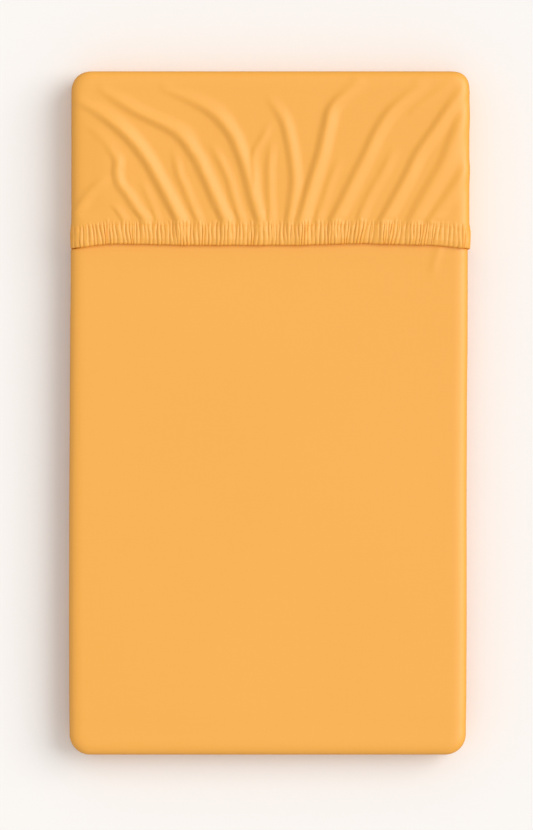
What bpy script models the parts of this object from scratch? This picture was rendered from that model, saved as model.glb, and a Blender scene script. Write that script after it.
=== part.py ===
"""A fitted sheet in plain cotton, folded flat as it lies on a shelf.

The sheet is one piece of cloth. Its section, from the front down, runs back and forth:

  hem edge - up the front of the end pocket - round the top end - down the whole back -
  round the bottom end - up the front panel - under the pocket - and then to and fro inside.

The end pocket is closed at the top end and at both sides. Its gathered hem crosses the front
and wraps round the sides. Below the hem the front panel curls down over the sides, and the
edges of the inner layers show between it and the back.

X runs across the packet, Y up it and Z away from the surface that it lies on. The origin is
the middle of the bottom of its bounding box.
"""

import math
from bisect import bisect_left
from collections import Counter, namedtuple

import bmesh
import bpy
from mathutils import Vector

MM = 0.001
TINY = 1e-6 * MM
QUARTER = math.pi / 2

# Cloth and layers
CLOTH = 1.6 * MM                # thickness of one layer as folded
GAP = 0.5 * MM                  # space between two layers
PITCH = CLOTH + GAP
PANEL_LAYER = 10                # the back is layer 0, and layers 1 to 9 lie inside
FLAP_LAYER = 11                 # the front of the pocket lies on the panel
FOLD_RADIUS = CLOTH + GAP / 2   # outside radius of a fold between two layers
FOLD_STEPS = 3
FOLD_ROOM = 1.0 * MM            # how far the inner folds stay back from the ends

# The packet
HALF_LENGTH = 215.0 * MM
CORNER = 13.0 * MM              # radius of the corners, and plan width of the round edges
UNDER_ROUND = 5.0 * MM          # plan width of the round edge underneath
EDGE_POWER = 0.46               # under 1, the round edges are squarer than ellipses
SQUARE_LEFT, SQUARE_RIGHT = 0.03, 0.1   # how far the pocket's corners stand out past round ones
WIDEST_Z = 12.0 * MM            # height at which the sides reach furthest out
FLAT_END = HALF_LENGTH - CORNER
PANEL_TOP = PANEL_LAYER * PITCH + CLOTH
FLAP_TOP = FLAP_LAYER * PITCH + CLOTH
POCKET_LEFT = -124.8 * MM
POCKET_RIGHT = 125.72 * MM

# The gathered hem
HEM_EDGE_Y = 105.7 * MM
HEM_DEPTH = 12.4 * MM
HEM_DROOP = 2.2 * MM            # how much lower the edge hangs at the sides
HEM_DROOP_FROM = 98.0 * MM
HEM_DROOP_OVER = 34.0 * MM
HEM_RISE = (0.5 * MM, 1.0 * MM, 0.3 * MM)   # at its edge, its middle and its seam
HEM_SIDE_RISE = 0.1             # share of that rise on the sides
HEM_UNEVEN = 0.5 * MM           # how uneven its edge is from pleat to pleat
PLEAT_HEIGHT = 0.8 * MM
PLEAT_SIDE = 0.55               # share of that height on the sides
PLEAT_LOWEST = 0.55             # share of that height on the lowest pleats
PLEAT_LEAN = 0.5                # how unevenly they stand, as a share of a mesh step
FLAP_FOOT_Y = 122.0 * MM        # where the pleats have run out into the pocket

# The front panel and the back
PANEL_SWELL = 0.25 * MM         # how uneven the front panel lies
PANEL_WAVE_X = 195.0 * MM       # length of those waves
PANEL_WAVE_Y = 295.0 * MM
PANEL_WAVE_STARTS = (1.0, 2.0)  # where those waves start, in radians
PANEL_LEVEL_Y = 92.0 * MM       # from here up, below the hem, it lies level
PANEL_LEVEL_OVER = 40.0 * MM
CURL_TURN = 95.0                # degrees that the panel's sides turn down from flat
CURL_WAVE = 3.0                 # degrees by which that varies
CURL_WAVE_Y = 240.0 * MM
CURL_END_Y = 190.0 * MM         # the curled sides stop here, inside the pocket
OPENING_SLANT = 14.0 * MM       # how far the open side starts later underneath
BACK_WAVE = 1.0 * MM            # how uneven the back's side edges are
BACK_WAVE_Y = 145.0 * MM

# Steps of the mesh
ROUND_STEPS = 5                 # cells across a round edge
UNDER_STEPS = 3                 # cells across the round edge underneath
FLAP_CELLS = 64                 # across the flat of the pocket
FLAP_ROWS = 12
ARC_STEPS = 400                 # steps in which the length of a round edge is measured
PLEAT_STEPS = 3                 # hem points for each of the pocket's cells
PANEL_CELLS = 10
PANEL_ROW_LONGEST = 45.0        # mm; a longer row of SIDES is cut in two

SHEET_COLOUR = (0.930, 0.448, 0.105, 1.0)
SHEET_ROUGHNESS = 0.85
SHARP_ANGLE = 36.0              # degrees

# Where the front panel's sides lie, in mm, from the bottom end to inside the pocket,
# where the elastic draws them in.
Side = namedtuple("Side", "y left right across")
SIDES = (
    Side(-202, -126.0, 123.5, 13.0),
    Side(-170, -126.2, 123.8, 13.0),
    Side(-120, -126.3, 124.0, 13.0),
    Side(-60, -126.2, 124.0, 13.0),
    Side(0, -125.9, 124.2, 13.0),
    Side(50, -125.6, 124.6, 13.0),
    Side(82, -125.3, 124.7, 13.0),
    Side(101.2, -125.2, 124.7, 12.8),
    Side(103.3, -122.6, 123.6, 10.9),
    Side(122, -122.6, 123.6, 10.9),
    Side(190, -122.6, 123.6, 10.9),
)

# Low waves in the hem's edge, in mm: where they are, how wide, and how far they lift it.
Wave = namedtuple("Wave", "x width lift")
HEM_WAVES = (
    Wave(-92, 26, 0.8),
    Wave(57, 26, 1.1),
)

# The drag folds of the pocket, in mm: each runs from its foot near the hem up to its top, and
# the x columns give its place at the foot, at five even heights between, and at the top. The
# last column is its width, as a share of the widths below.
Fold = namedtuple("Fold", "foot_y top_y x_foot x_1 x_2 x_3 x_4 x_5 x_top height width")
FOLDS = (
    Fold(121, 196, -59.6, -66.0, -72.7, -80.0, -90.0, -104.0, -122.5, 2.0, 1.0),
    Fold(121, 202, -30.8, -37.0, -43.0, -50.0, -61.5, -87.0, -107.0, 1.8, 1.0),
    Fold(121, 203, -8.8, -13.0, -16.5, -21.0, -27.6, -41.0, -68.0, 1.7, 1.0),
    Fold(121, 196, 9.9, 11.8, 13.1, 12.0, 9.8, 6.3, -1.5, 1.3, 0.9),
    Fold(121, 208, 16.9, 21.0, 25.3, 29.7, 33.0, 37.4, 52.0, 1.9, 1.0),
    Fold(121, 206, 37.4, 44.5, 51.4, 58.5, 65.2, 74.8, 91.0, 1.6, 1.0),
    Fold(121, 206, 68.4, 76.3, 83.9, 90.8, 100.5, 110.0, 120.0, 1.6, 1.0),
    Fold(121, 193, 86.3, 92.6, 99.4, 106.2, 111.0, 115.6, 120.2, 1.2, 1.2),
    Fold(121, 166, -80.6, -86.3, -91.2, -96.5, -98.2, -98.0, -102.5, 1.3, 0.8),
    Fold(121, 163, -46.6, -49.8, -52.8, -55.6, -58.7, -60.3, -61.8, 0.8, 0.8),
    Fold(121, 168, -19.8, -22.6, -24.9, -27.0, -30.2, -34.1, -38.0, 0.8, 0.8),
    Fold(148, 181, -10.4, -11.0, -11.6, -11.0, -8.0, -4.8, -2.5, 0.6, 0.8),
    Fold(121, 169, -1.2, -1.6, -2.0, -2.1, -2.3, -1.6, -0.6, 0.8, 0.8),
    Fold(121, 159, 28.2, 29.9, 32.2, 34.3, 36.4, 38.9, 41.8, 0.5, 0.8),
    Fold(121, 165, 54.0, 56.7, 60.0, 63.9, 68.3, 72.1, 75.8, 0.7, 0.8),
    Fold(121, 158, 98.4, 102.9, 107.3, 111.5, 115.6, 119.2, 121.5, 0.8, 1.0),
    Fold(126, 148, -123.5, -121.3, -119.0, -116.6, -113.6, -109.9, -106.0, 0.8, 0.8),
    Fold(182, 208, 77.0, 79.5, 83.0, 88.0, 95.0, 102.5, 110.8, 0.8, 0.8),
)
FOLD_STOPS = slice(2, 9)        # the x columns
FOLD_STEEP = 2.4 * MM           # half the width of a fold's steep left side
FOLD_GENTLE = 8.0 * MM          # width of its gentle right side
FOLD_PAST_FOOT = 0.3            # how far it fades past its foot and its top, and how far
FOLD_PAST_TOP = 0.1             # below its top it starts to, as shares of its length
FOLD_FADE_TOP = 0.35
FOLD_FADE_FOOT = 0.4
FOLD_PROBE = 0.02               # share of its length over which its slope is measured

# How far, in mm, the side edges of layers 1 to 4 lie inside the packet's outline where they
# show, below the panel's curled sides. The other layers end inside those.
Edge = namedtuple("Edge", "left right")
LAYER_EDGES = (
    Edge(2.6, 1.7),
    Edge(1.3, 2.4),
    Edge(2.1, 1.4),
    Edge(1.8, 2.2),
)
EDGE_WAVE = 0.6 * MM            # how uneven those edges are
EDGE_WAVE_Y = 170.0 * MM
EDGE_ROOM = 0.5 * MM            # what the other side edges keep inside the room they have

# Heights up the packet, in mm, at which the side edges of the inner layers and of the back
# change their line.
LAYER_STOPS = (200, 103, 94, 50, 10, -30, -70, -110, -150, -172, -188, -202)
BACK_STOPS = (-175, -145, -110, -70, -30, 10, 50, 90)
SHOWN_STOPS = (94, -172)        # between these the side edges show


# The three numbers that scatter the values of uneven
SCATTER_STEP, SCATTER_START, SCATTER_SCALE = 12.9898, 4.1, 43758.5453


def uneven(number):
    """A fixed value between 0 and 1 for each number, with no visible order."""
    return math.sin(number * SCATTER_STEP + SCATTER_START) * SCATTER_SCALE % 1.0


def smooth(value):
    """Rises from 0 to 1 with soft ends."""
    value = min(max(value, 0.0), 1.0)
    return value * value * (3.0 - 2.0 * value)


def between(low, high, share):
    return low + (high - low) * share


class Sheet:
    """Cloth as cells between named points, each with a place on its outside and its inside."""

    def __init__(self):
        self.places = {}
        self.cells = []

    def cell(self, *names):
        self.cells.append(names)

    def strip(self, first, second):
        """Cells between two rows of names of the same length."""
        for step in range(len(first) - 1):
            self.cell(first[step], first[step + 1], second[step + 1], second[step])

    def edges(self):
        """The pairs of names that only one cell uses: the cloth's raw edge."""
        uses = Counter()
        for names in self.cells:
            for first, second in zip(names, names[1:] + names[:1]):
                uses[frozenset((first, second))] += 1
        return [tuple(pair) for pair, count in uses.items() if count == 1]

    def build(self, mesh):
        """Both faces of every cell, and a narrow band along the raw edge."""
        form = bmesh.new()
        used = {name: None for names in self.cells for name in names}
        for name in used:
            used[name] = [form.verts.new(place) for place in self.places[name]]
        for names in self.cells:
            for face in (0, 1):
                form.faces.new([used[name][face] for name in names])
        for first, second in self.edges():
            form.faces.new((used[first][0], used[second][0], used[second][1], used[first][1]))
        bmesh.ops.recalc_face_normals(form, faces=form.faces)
        form.to_mesh(mesh)
        form.free()


def edge_out(turn):
    """How far out the round edge has come at a turn: 0 on top and 1 at the widest line."""
    return math.sin(turn) ** EDGE_POWER


def edge_rise(turn):
    """How high it still is: 1 on top and 0 at the widest line. A curl goes on past that."""
    level = math.cos(turn)
    return level ** EDGE_POWER if level > 0.0 else level


def edge_arcs():
    """Lengths of cloth from the top down a round edge, and the turns that they reach."""
    arcs, turns, place = [0.0], [0.0], (0.0, FLAP_TOP - WIDEST_Z)
    for step in range(1, ARC_STEPS + 1):
        turn = QUARTER * smooth(smooth(step / ARC_STEPS))
        before = place
        place = CORNER * edge_out(turn), (FLAP_TOP - WIDEST_Z) * edge_rise(turn)
        arcs.append(arcs[-1] + math.dist(before, place))
        turns.append(turn)
    return arcs, turns


ARCS, ARC_TURNS = edge_arcs()


def even_turn(share):
    """The turn at a share of the cloth over a round edge, so that even shares are as long."""
    length = min(max(share, 0.0), 1.0) * ARCS[-1]
    step = max(bisect_left(ARCS, length), 1)
    part = (length - ARCS[step - 1]) / (ARCS[step] - ARCS[step - 1])
    return between(ARC_TURNS[step - 1], ARC_TURNS[step], part)


def heading(side, side_share, end, end_share, is_pocket):
    """Direction in plan and turn of a point on the round edge, fanned out round a corner.

    The shares tell how far the point is over the edge at the side and at the end."""
    larger, smaller = max(side_share, end_share), min(side_share, end_share)
    angle = QUARTER / 2 * smaller / larger if larger else 0.0
    if side_share < end_share:
        angle = QUARTER - angle
    square = (SQUARE_LEFT if side < 0 else SQUARE_RIGHT) if is_pocket else 0.0
    reach = 1.0 + square * math.sin(2.0 * angle) ** 2
    return side * reach * math.cos(angle), end * reach * math.sin(angle), even_turn(larger)


def over(foot, way, turn, top, across, swell=0.0):
    """Outside and inside of the cloth that turns over the edge: turn 0 is flat on top."""
    places = []
    for inset in (-swell, CLOTH - swell):
        out = (across - inset) * edge_out(turn)
        height = WIDEST_Z + (top - WIDEST_Z - inset) * edge_rise(turn)
        places.append(Vector((foot[0] + out * way[0], foot[1] + out * way[1], height)))
    return places


def under(foot, way, turn, swell=0.0):
    """The same below the widest line: turn 0 is flat on the surface."""
    places = []
    for inset in (-swell * math.sin(turn), CLOTH):
        out = CORNER - UNDER_ROUND + (UNDER_ROUND - inset) * math.sin(turn)
        height = WIDEST_Z - (WIDEST_Z - max(inset, 0.0)) * math.cos(turn)
        places.append(Vector((foot[0] + out * way[0], foot[1] + out * way[1], height)))
    return places


# The end pocket

POCKET_CELLS = FLAP_CELLS + 2 * ROUND_STEPS
FIRST_COLUMN = -UNDER_STEPS
LAST_COLUMN = POCKET_CELLS + UNDER_STEPS
POCKET_MIDDLE = (POCKET_LEFT + POCKET_RIGHT) / 2
POCKET_FLAT = (POCKET_RIGHT - POCKET_LEFT) / 2 - CORNER


def fold_line(fold, share):
    """X of a fold's steep side, share of the way up it, as a smooth curve through its columns."""
    stops = fold[FOLD_STOPS]
    place = min(max(share, 0.0), 1.0) * (len(stops) - 1)
    step = min(int(place), len(stops) - 2)
    rest = place - step
    start, finish = stops[step], stops[step + 1]
    before = stops[step - 1] if step else 2 * start - finish
    after = stops[step + 2] if step + 2 < len(stops) else 2 * finish - start
    bend = (2 * before - 5 * start + 4 * finish - after) * rest ** 2
    twist = (3 * (start - finish) + after - before) * rest ** 3
    return (start + ((finish - before) * rest + bend + twist) / 2) * MM


def fold_height(x, y):
    """How far the folds lift the pocket's front at a place in plan."""
    height = 0.0
    for fold in FOLDS:
        span = (fold.top_y - fold.foot_y) * MM
        share = (y - fold.foot_y * MM) / span
        if not -FOLD_PAST_FOOT < share < 1.0 + FOLD_PAST_TOP:
            continue
        near, far = share - FOLD_PROBE, share + FOLD_PROBE
        slope = (fold_line(fold, far) - fold_line(fold, near)) / ((far - near) * span)
        off = (x - fold_line(fold, share)) / math.hypot(1.0, slope) / fold.width
        steep = smooth((off + FOLD_STEEP) / (2 * FOLD_STEEP))
        gentle = 1.0 - smooth((off - FOLD_STEEP) / FOLD_GENTLE)
        along = smooth((1.0 + FOLD_PAST_TOP - share) / FOLD_FADE_TOP)
        along *= smooth((share + FOLD_PAST_FOOT) / FOLD_FADE_FOOT)
        height += fold.height * MM * steep * gentle * along
    return height


def pocket_column(column):
    """Foot x, side and share over the edge of a column: the hem's are at thirds."""
    if column < ROUND_STEPS:
        return POCKET_MIDDLE - POCKET_FLAT, -1, 1.0 - column / ROUND_STEPS
    if column > POCKET_CELLS - ROUND_STEPS:
        past = column - (POCKET_CELLS - ROUND_STEPS)
        return POCKET_MIDDLE + POCKET_FLAT, 1, past / ROUND_STEPS
    share = (column - ROUND_STEPS) / FLAP_CELLS
    return POCKET_MIDDLE + POCKET_FLAT * (2.0 * share - 1.0), 1, 0.0


def pocket_x(column):
    """X of a column, down to the widest line."""
    foot_x, side, share = pocket_column(column)
    return foot_x + side * CORNER * edge_out(even_turn(share))


def under_turn(column):
    """Turn of a column below the widest line."""
    past = max(-column, column - POCKET_CELLS)
    return (1.0 - past / UNDER_STEPS) * QUARTER


def pocket_place(column, y, swell=None):
    """Both faces of the pocket at a column and a height up the packet."""
    foot_x, side, share = pocket_column(column)
    if column < 0 or column > POCKET_CELLS:
        return under((foot_x, y), (side, 0.0), under_turn(column), swell or 0.0)
    if swell is None:
        swell = fold_height(pocket_x(column), y)
    return over((foot_x, y), (side, 0.0), even_turn(share), FLAP_TOP, CORNER, swell)


def hem_edge_y(x):
    """The hem's lower edge: two low waves across the front, and a droop at each side."""
    lift = sum(wave.lift * math.exp(-((x / MM - wave.x) / wave.width) ** 2)
               for wave in HEM_WAVES)
    droop = HEM_DROOP * smooth((abs(x) - HEM_DROOP_FROM) / HEM_DROOP_OVER)
    return HEM_EDGE_Y + lift * MM - droop


# Where each kind of unevenness of the pleats starts to count, so that they differ.
LEANS, HEIGHTS, DROPS = 300, 77, 500


def add_hem(sheet):
    """Three rows of points with a pleat on every second column, joined to the pocket."""
    count = (LAST_COLUMN - FIRST_COLUMN) * PLEAT_STEPS
    for step in range(count + 1):
        shift = (uneven(step) - 0.5) * PLEAT_LEAN
        for row, rise in enumerate(HEM_RISE):
            lean = (uneven(step // 2 + LEANS) - 0.5) * PLEAT_LEAN * (1 - row)
            column = FIRST_COLUMN + step / PLEAT_STEPS
            if 0 < step < count:
                column += (shift + lean) / PLEAT_STEPS
            x = pocket_x(column)
            past = smooth(pocket_column(column)[2])
            pleat = PLEAT_HEIGHT * between(PLEAT_LOWEST, 1.0, uneven(step + HEIGHTS)) * (step % 2)
            y = hem_edge_y(x) + HEM_DEPTH * row / 2
            y += (uneven(step + DROPS) - 0.5) * HEM_UNEVEN * (row == 0)
            swell = rise * between(1.0, HEM_SIDE_RISE, past) + fold_height(x, y)
            swell += pleat * between(1.0, PLEAT_SIDE, past)
            outside, inside = pocket_place(column, y, swell)
            inside.z = min(inside.z, FLAP_TOP - CLOTH)
            sheet.places["hem", step, row] = outside, inside
    for step in range(count):
        for row in range(len(HEM_RISE) - 1):
            near, far = ("hem", step), ("hem", step + 1)
            sheet.cell(near + (row,), far + (row,), far + (row + 1,), near + (row + 1,))
    seam = len(HEM_RISE) - 1
    for column in range(FIRST_COLUMN, LAST_COLUMN):
        near, far = ("pocket", column, 0), ("pocket", column + 1, 0)
        start = (column - FIRST_COLUMN) * PLEAT_STEPS
        pleats = [("hem", start + step, seam) for step in range(PLEAT_STEPS + 1)]
        sheet.cell(near, pleats[0], pleats[1])
        sheet.cell(near, pleats[1], pleats[2])
        sheet.cell(near, pleats[2], far)
        sheet.cell(far, pleats[2], pleats[3])


def add_pocket(sheet):
    """Front and sides of the pocket, its round top end, and the round edge underneath."""
    for row in range(FLAP_ROWS + 1):
        y = between(FLAP_FOOT_Y, FLAT_END, row / FLAP_ROWS)
        for column in range(FIRST_COLUMN, LAST_COLUMN + 1):
            sheet.places["pocket", column, row] = pocket_place(column, y)
    for row in range(FLAP_ROWS):
        for column in range(FIRST_COLUMN, LAST_COLUMN):
            low = ("pocket", column, row), ("pocket", column + 1, row)
            high = ("pocket", column, row + 1), ("pocket", column + 1, row + 1)
            if column < POCKET_CELLS / 2:
                sheet.cell(low[0], low[1], high[0])
                sheet.cell(low[1], high[1], high[0])
            else:
                sheet.cell(low[0], low[1], high[1])
                sheet.cell(low[0], high[1], high[0])
    for step in range(1, ROUND_STEPS + 1):
        for column in range(POCKET_CELLS + 1):
            foot_x, side, side_share = pocket_column(column)
            way_x, way_y, turn = heading(side, side_share, 1, step / ROUND_STEPS, True)
            reach = CORNER * edge_out(turn)
            swell = fold_height(foot_x + reach * way_x, FLAT_END + reach * way_y)
            swell *= math.cos(turn)
            sheet.places["pocket", column, FLAP_ROWS + step] = over(
                (foot_x, FLAT_END), (way_x, way_y), turn, FLAP_TOP, CORNER, swell)
    for step in range(ROUND_STEPS):
        rows = [[("pocket", column, FLAP_ROWS + step + more)
                 for column in range(POCKET_CELLS + 1)] for more in (0, 1)]
        sheet.strip(*rows)


def rim_walk(last_column, low_row, high_row):
    """Columns and rows of a round end, from its left side round to its right one."""
    step = 1 if high_row > low_row else -1
    walk = [(0, row) for row in range(low_row, high_row, step)]
    walk += [(column, high_row) for column in range(last_column + 1)]
    return walk + [(last_column, row) for row in range(high_row - step, low_row - step, -step)]


def under_name(part, column, row, ring):
    """Name of a point below the rim: the pocket's sides already have theirs."""
    if part == "pocket" and row == FLAP_ROWS:
        return part, (column + ring if column else -ring), row
    return part, column, row, ring


def add_under_end(sheet, part, walk, foot_at, end):
    """The round edge underneath one end; returns the names of its line on the surface."""
    rings = [[(part, column, row) for column, row in walk]]
    for ring in range(1, UNDER_STEPS + 1):
        names = [under_name(part, column, row, ring) for column, row in walk]
        for name, (column, row) in zip(names, walk):
            foot, side, side_share, end_share = foot_at(column, row)
            way_x, way_y, _ = heading(side, side_share, end, end_share, part == "pocket")
            turn = (1.0 - ring / UNDER_STEPS) * QUARTER
            if part == "panel" and row == ROUND_STEPS:
                foot = foot[0], foot[1] + OPENING_SLANT * ring / UNDER_STEPS
            sheet.places[name] = under(foot, (way_x, way_y), turn)
        rings.append(names)
    for near, far in zip(rings, rings[1:]):
        sheet.strip(near, far)
    return rings[-1]


def pocket_foot(column, row):
    foot_x, side, side_share = pocket_column(column)
    return (foot_x, FLAT_END), side, side_share, (row - FLAP_ROWS) / ROUND_STEPS


# The front panel and the layers inside

PANEL_COLUMNS = PANEL_CELLS + 2 * ROUND_STEPS


def room(height, top):
    """How far past the flat, in plan, there is room inside the outer layer at a height."""
    if height > WIDEST_Z:
        share = (height - WIDEST_Z) / (top - WIDEST_Z - PITCH)
        return (CORNER - PITCH) * math.sqrt(max(1.0 - share * share, 0.0))
    share = (WIDEST_Z - height) / (WIDEST_Z - PITCH)
    below = (UNDER_ROUND - PITCH) * math.sqrt(max(1.0 - share * share, 0.0))
    return CORNER - UNDER_ROUND + below


def side_at(y):
    """Left, right and plan width of the panel's round sides at a height up the packet."""
    rows = list(zip(SIDES, SIDES[1:]))
    low, high = next((pair for pair in rows if y <= pair[1].y * MM + TINY), rows[-1])
    share = smooth((y / MM - low.y) / (high.y - low.y))
    return [between(getattr(low, name), getattr(high, name), share) * MM
            for name in ("left", "right", "across")]


def panel_foot(column, y):
    """Foot x, side and share over the edge of one of the panel's columns."""
    left, right, across = side_at(y)
    left, right = left + across, right - across
    if column < ROUND_STEPS:
        return left, -1, 1.0 - column / ROUND_STEPS
    if column > PANEL_COLUMNS - ROUND_STEPS:
        return right, 1, (column - PANEL_CELLS - ROUND_STEPS) / ROUND_STEPS
    return between(left, right, (column - ROUND_STEPS) / PANEL_CELLS), 1, 0.0


def panel_end_foot(column, row):
    foot_x, side, side_share = panel_foot(column, -FLAT_END)
    return (foot_x, -FLAT_END), side, side_share, 1.0 - row / ROUND_STEPS


def panel_swell(x, y):
    """The panel lies a little unevenly below the hem, and flat under it."""
    wave = math.sin(math.tau * x / PANEL_WAVE_X + PANEL_WAVE_STARTS[0])
    wave *= math.sin(math.tau * y / PANEL_WAVE_Y + PANEL_WAVE_STARTS[1])
    return PANEL_SWELL * (1.0 + wave) * smooth((PANEL_LEVEL_Y - y) / PANEL_LEVEL_OVER)


def panel_rows():
    """Heights up the packet of the panel's rows, from the bottom end's flat to the pocket."""
    rows = [-FLAT_END]
    for low, high in zip(SIDES, SIDES[1:]):
        parts = 2 if high.y - low.y > PANEL_ROW_LONGEST else 1
        rows += [between(low.y, high.y, (part + 1) / parts) * MM for part in range(parts)]
    return rows


def add_panel(sheet):
    """The round bottom end, the front panel, and its sides that curl down."""
    rows = panel_rows()
    for step in range(ROUND_STEPS):
        for column in range(PANEL_COLUMNS + 1):
            (foot_x, _), side, side_share, end_share = panel_end_foot(column, step)
            way_x, way_y, turn = heading(side, side_share, -1, end_share, False)
            sheet.places["panel", column, step] = over(
                (foot_x, -FLAT_END), (way_x, way_y), turn, PANEL_TOP, CORNER)
    for row, y in enumerate(rows, ROUND_STEPS):
        across = side_at(y)[2]
        for column in range(PANEL_COLUMNS + 1):
            foot_x, side, share = panel_foot(column, y)
            turn = even_turn(share)
            swell = panel_swell(foot_x, y) * math.cos(turn) * (row > ROUND_STEPS)
            sheet.places["panel", column, row] = over(
                (foot_x, y), (side, 0.0), turn, PANEL_TOP, across, swell)
        for column, rim in ((-1, 0), (PANEL_COLUMNS + 1, PANEL_COLUMNS)):
            foot_x, side, _ = panel_foot(rim, y)
            wave = math.sin(math.tau * y / CURL_WAVE_Y + side)
            turn = math.radians(CURL_TURN + CURL_WAVE * wave)
            sheet.places["panel", column, row] = over(
                (foot_x, y), (side, 0.0), turn, PANEL_TOP, across)
    last = ROUND_STEPS + len(rows) - 1
    for row in range(last):
        names = [[("panel", column, row + more) for column in range(PANEL_COLUMNS + 1)]
                 for more in (0, 1)]
        sheet.strip(*names)
    for column, rim in ((-1, 0), (PANEL_COLUMNS + 1, PANEL_COLUMNS)):
        sheet.cell(("panel", rim, ROUND_STEPS), ("panel", rim, ROUND_STEPS + 1),
                   ("panel", column, ROUND_STEPS + 1))
        for row in range(ROUND_STEPS + 1, last):
            near, far = ("panel", rim, row), ("panel", rim, row + 1)
            sheet.cell(near, far, ("panel", column, row + 1), ("panel", column, row))
    return last


def layer_faces(layer):
    """Heights of the cloth's outside and inside on a layer: each fold turns them over."""
    bottom = layer * PITCH
    faces = (bottom + CLOTH, bottom)
    return faces if layer % 2 == 0 else faces[::-1]


def fold_place(layer, end):
    """Height up the packet of the fold that a layer has at its top end, 1, or bottom end, -1."""
    upper = layer + (layer % 2 == (end > 0))
    top = FLAP_TOP if end > 0 else PANEL_TOP
    high, low = upper * PITCH + CLOTH, (upper - 1) * PITCH
    reach = min(room(high, top), room(low, top)) - FOLD_RADIUS - FOLD_ROOM
    return end * (FLAT_END + reach)


def layer_widths(layer, y):
    """Left and right edge of an inner layer at a height up the packet."""
    left, right, across = side_at(min(max(y, SIDES[0].y * MM), CURL_END_Y))
    if layer <= len(LAYER_EDGES) and SHOWN_STOPS[1] * MM <= y <= SHOWN_STOPS[0] * MM:
        edge = LAYER_EDGES[layer - 1]
        wave = EDGE_WAVE * math.sin(math.tau * y / EDGE_WAVE_Y + layer)
        return left + edge.left * MM + wave, right - edge.right * MM + wave
    space = min(room(layer * PITCH, PANEL_TOP), room(layer * PITCH + CLOTH, PANEL_TOP))
    inset = CORNER - space + EDGE_ROOM
    return left + inset, right - inset


def flat_at(y):
    """Left and right end of the flat between the panel's round sides."""
    left, right, across = side_at(y)
    return left + across, right - across


def add_inner_layers(sheet, last_row):
    """Back and forth from the panel, below the pocket's front, down to the back."""
    row = [("panel", column, last_row)
           for column in range(ROUND_STEPS, PANEL_COLUMNS - ROUND_STEPS + 1)]
    for layer in range(PANEL_LAYER - 1, 0, -1):
        upward = layer % 2 == 0
        end = -1 if upward else 1
        flat = flat_at(-FLAT_END if upward else CURL_END_Y)
        fold_y = fold_place(layer, end)
        if layer < PANEL_LAYER - 1:
            row = add_row(sheet, row, ("layer", layer + 1, "end"), flat, fold_y,
                          layer_faces(layer + 1))
        else:
            names = [("layer", PANEL_LAYER, "end", side) for side in (0, 1)]
            for name, x in zip(names, flat):
                heights = layer_faces(PANEL_LAYER)
                sheet.places[name] = [Vector((x, fold_y, z)) for z in heights]
            sheet.cell(*row, names[1], names[0])
            row = names
        upper, lower = layer_faces(layer + 1), layer_faces(layer)
        for step in range(1, FOLD_STEPS + 1):
            angle = step / FOLD_STEPS * math.pi
            heights = [between(high, low, (1 - math.cos(angle)) / 2)
                       for high, low in zip(upper, lower)]
            outs = [end * abs(high - low) / 2 * math.sin(angle)
                    for high, low in zip(upper, lower)]
            row = add_row(sheet, row, ("layer", layer, "fold", step), flat,
                          (fold_y + outs[0], fold_y + outs[1]), heights)
        for stop in LAYER_STOPS[::-1] if upward else LAYER_STOPS:
            y = max(stop * MM, fold_place(layer, -1) + FOLD_RADIUS)
            y = min(y, fold_place(layer, 1) - FOLD_RADIUS)
            row = add_row(sheet, row, ("layer", layer, stop), layer_widths(layer, y),
                          y, layer_faces(layer))
    add_row(sheet, row, ("layer", 1, "raw edge"), flat_at(-FLAT_END), fold_place(1, -1),
            layer_faces(1))


def add_row(sheet, row, name, widths, y, heights):
    """One more pair of points across a layer, joined to the row before."""
    ys = y if isinstance(y, tuple) else (y, y)
    names = [name + (side,) for side in (0, 1)]
    for point, x in zip(names, widths):
        sheet.places[point] = [Vector((x, ys[face], heights[face])) for face in (0, 1)]
    sheet.strip(row, names)
    return names


def add_back(sheet, top_line, bottom_line):
    """The flat back, bounded by the pocket, the bottom end and its own side edges."""
    last_hem = (LAST_COLUMN - FIRST_COLUMN) * PLEAT_STEPS
    left_edge, right_edge = [], []
    for y in BACK_STOPS:
        left, right, _ = side_at(y * MM)
        wave = BACK_WAVE * math.sin(math.tau * y * MM / BACK_WAVE_Y)
        for names, x in ((left_edge, left + UNDER_ROUND + wave),
                         (right_edge, right - UNDER_ROUND + wave)):
            name = ("back", x > 0, y)
            sheet.places[name] = [Vector((x, y * MM, z)) for z in (0.0, CLOTH)]
            names.append(name)
    border = [("hem", 0, row) for row in range(len(HEM_RISE))]
    border += [("pocket", FIRST_COLUMN, row) for row in range(FLAP_ROWS)]
    border += top_line
    border += [("pocket", LAST_COLUMN, row) for row in reversed(range(FLAP_ROWS))]
    border += [("hem", last_hem, row) for row in reversed(range(len(HEM_RISE)))]
    border += right_edge[::-1]
    border += bottom_line[::-1]
    border += left_edge
    sheet.cell(*border)


def sheet_material():
    material = bpy.data.materials.new("orange_cotton")
    material.use_nodes = True
    shader = material.node_tree.nodes["Principled BSDF"]
    shader.inputs["Base Color"].default_value = SHEET_COLOUR
    shader.inputs["Roughness"].default_value = SHEET_ROUGHNESS
    shader.inputs["Metallic"].default_value = 0.0
    return material


def clear_scene():
    for thing in list(bpy.data.objects):
        bpy.data.objects.remove(thing, do_unlink=True)


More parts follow.
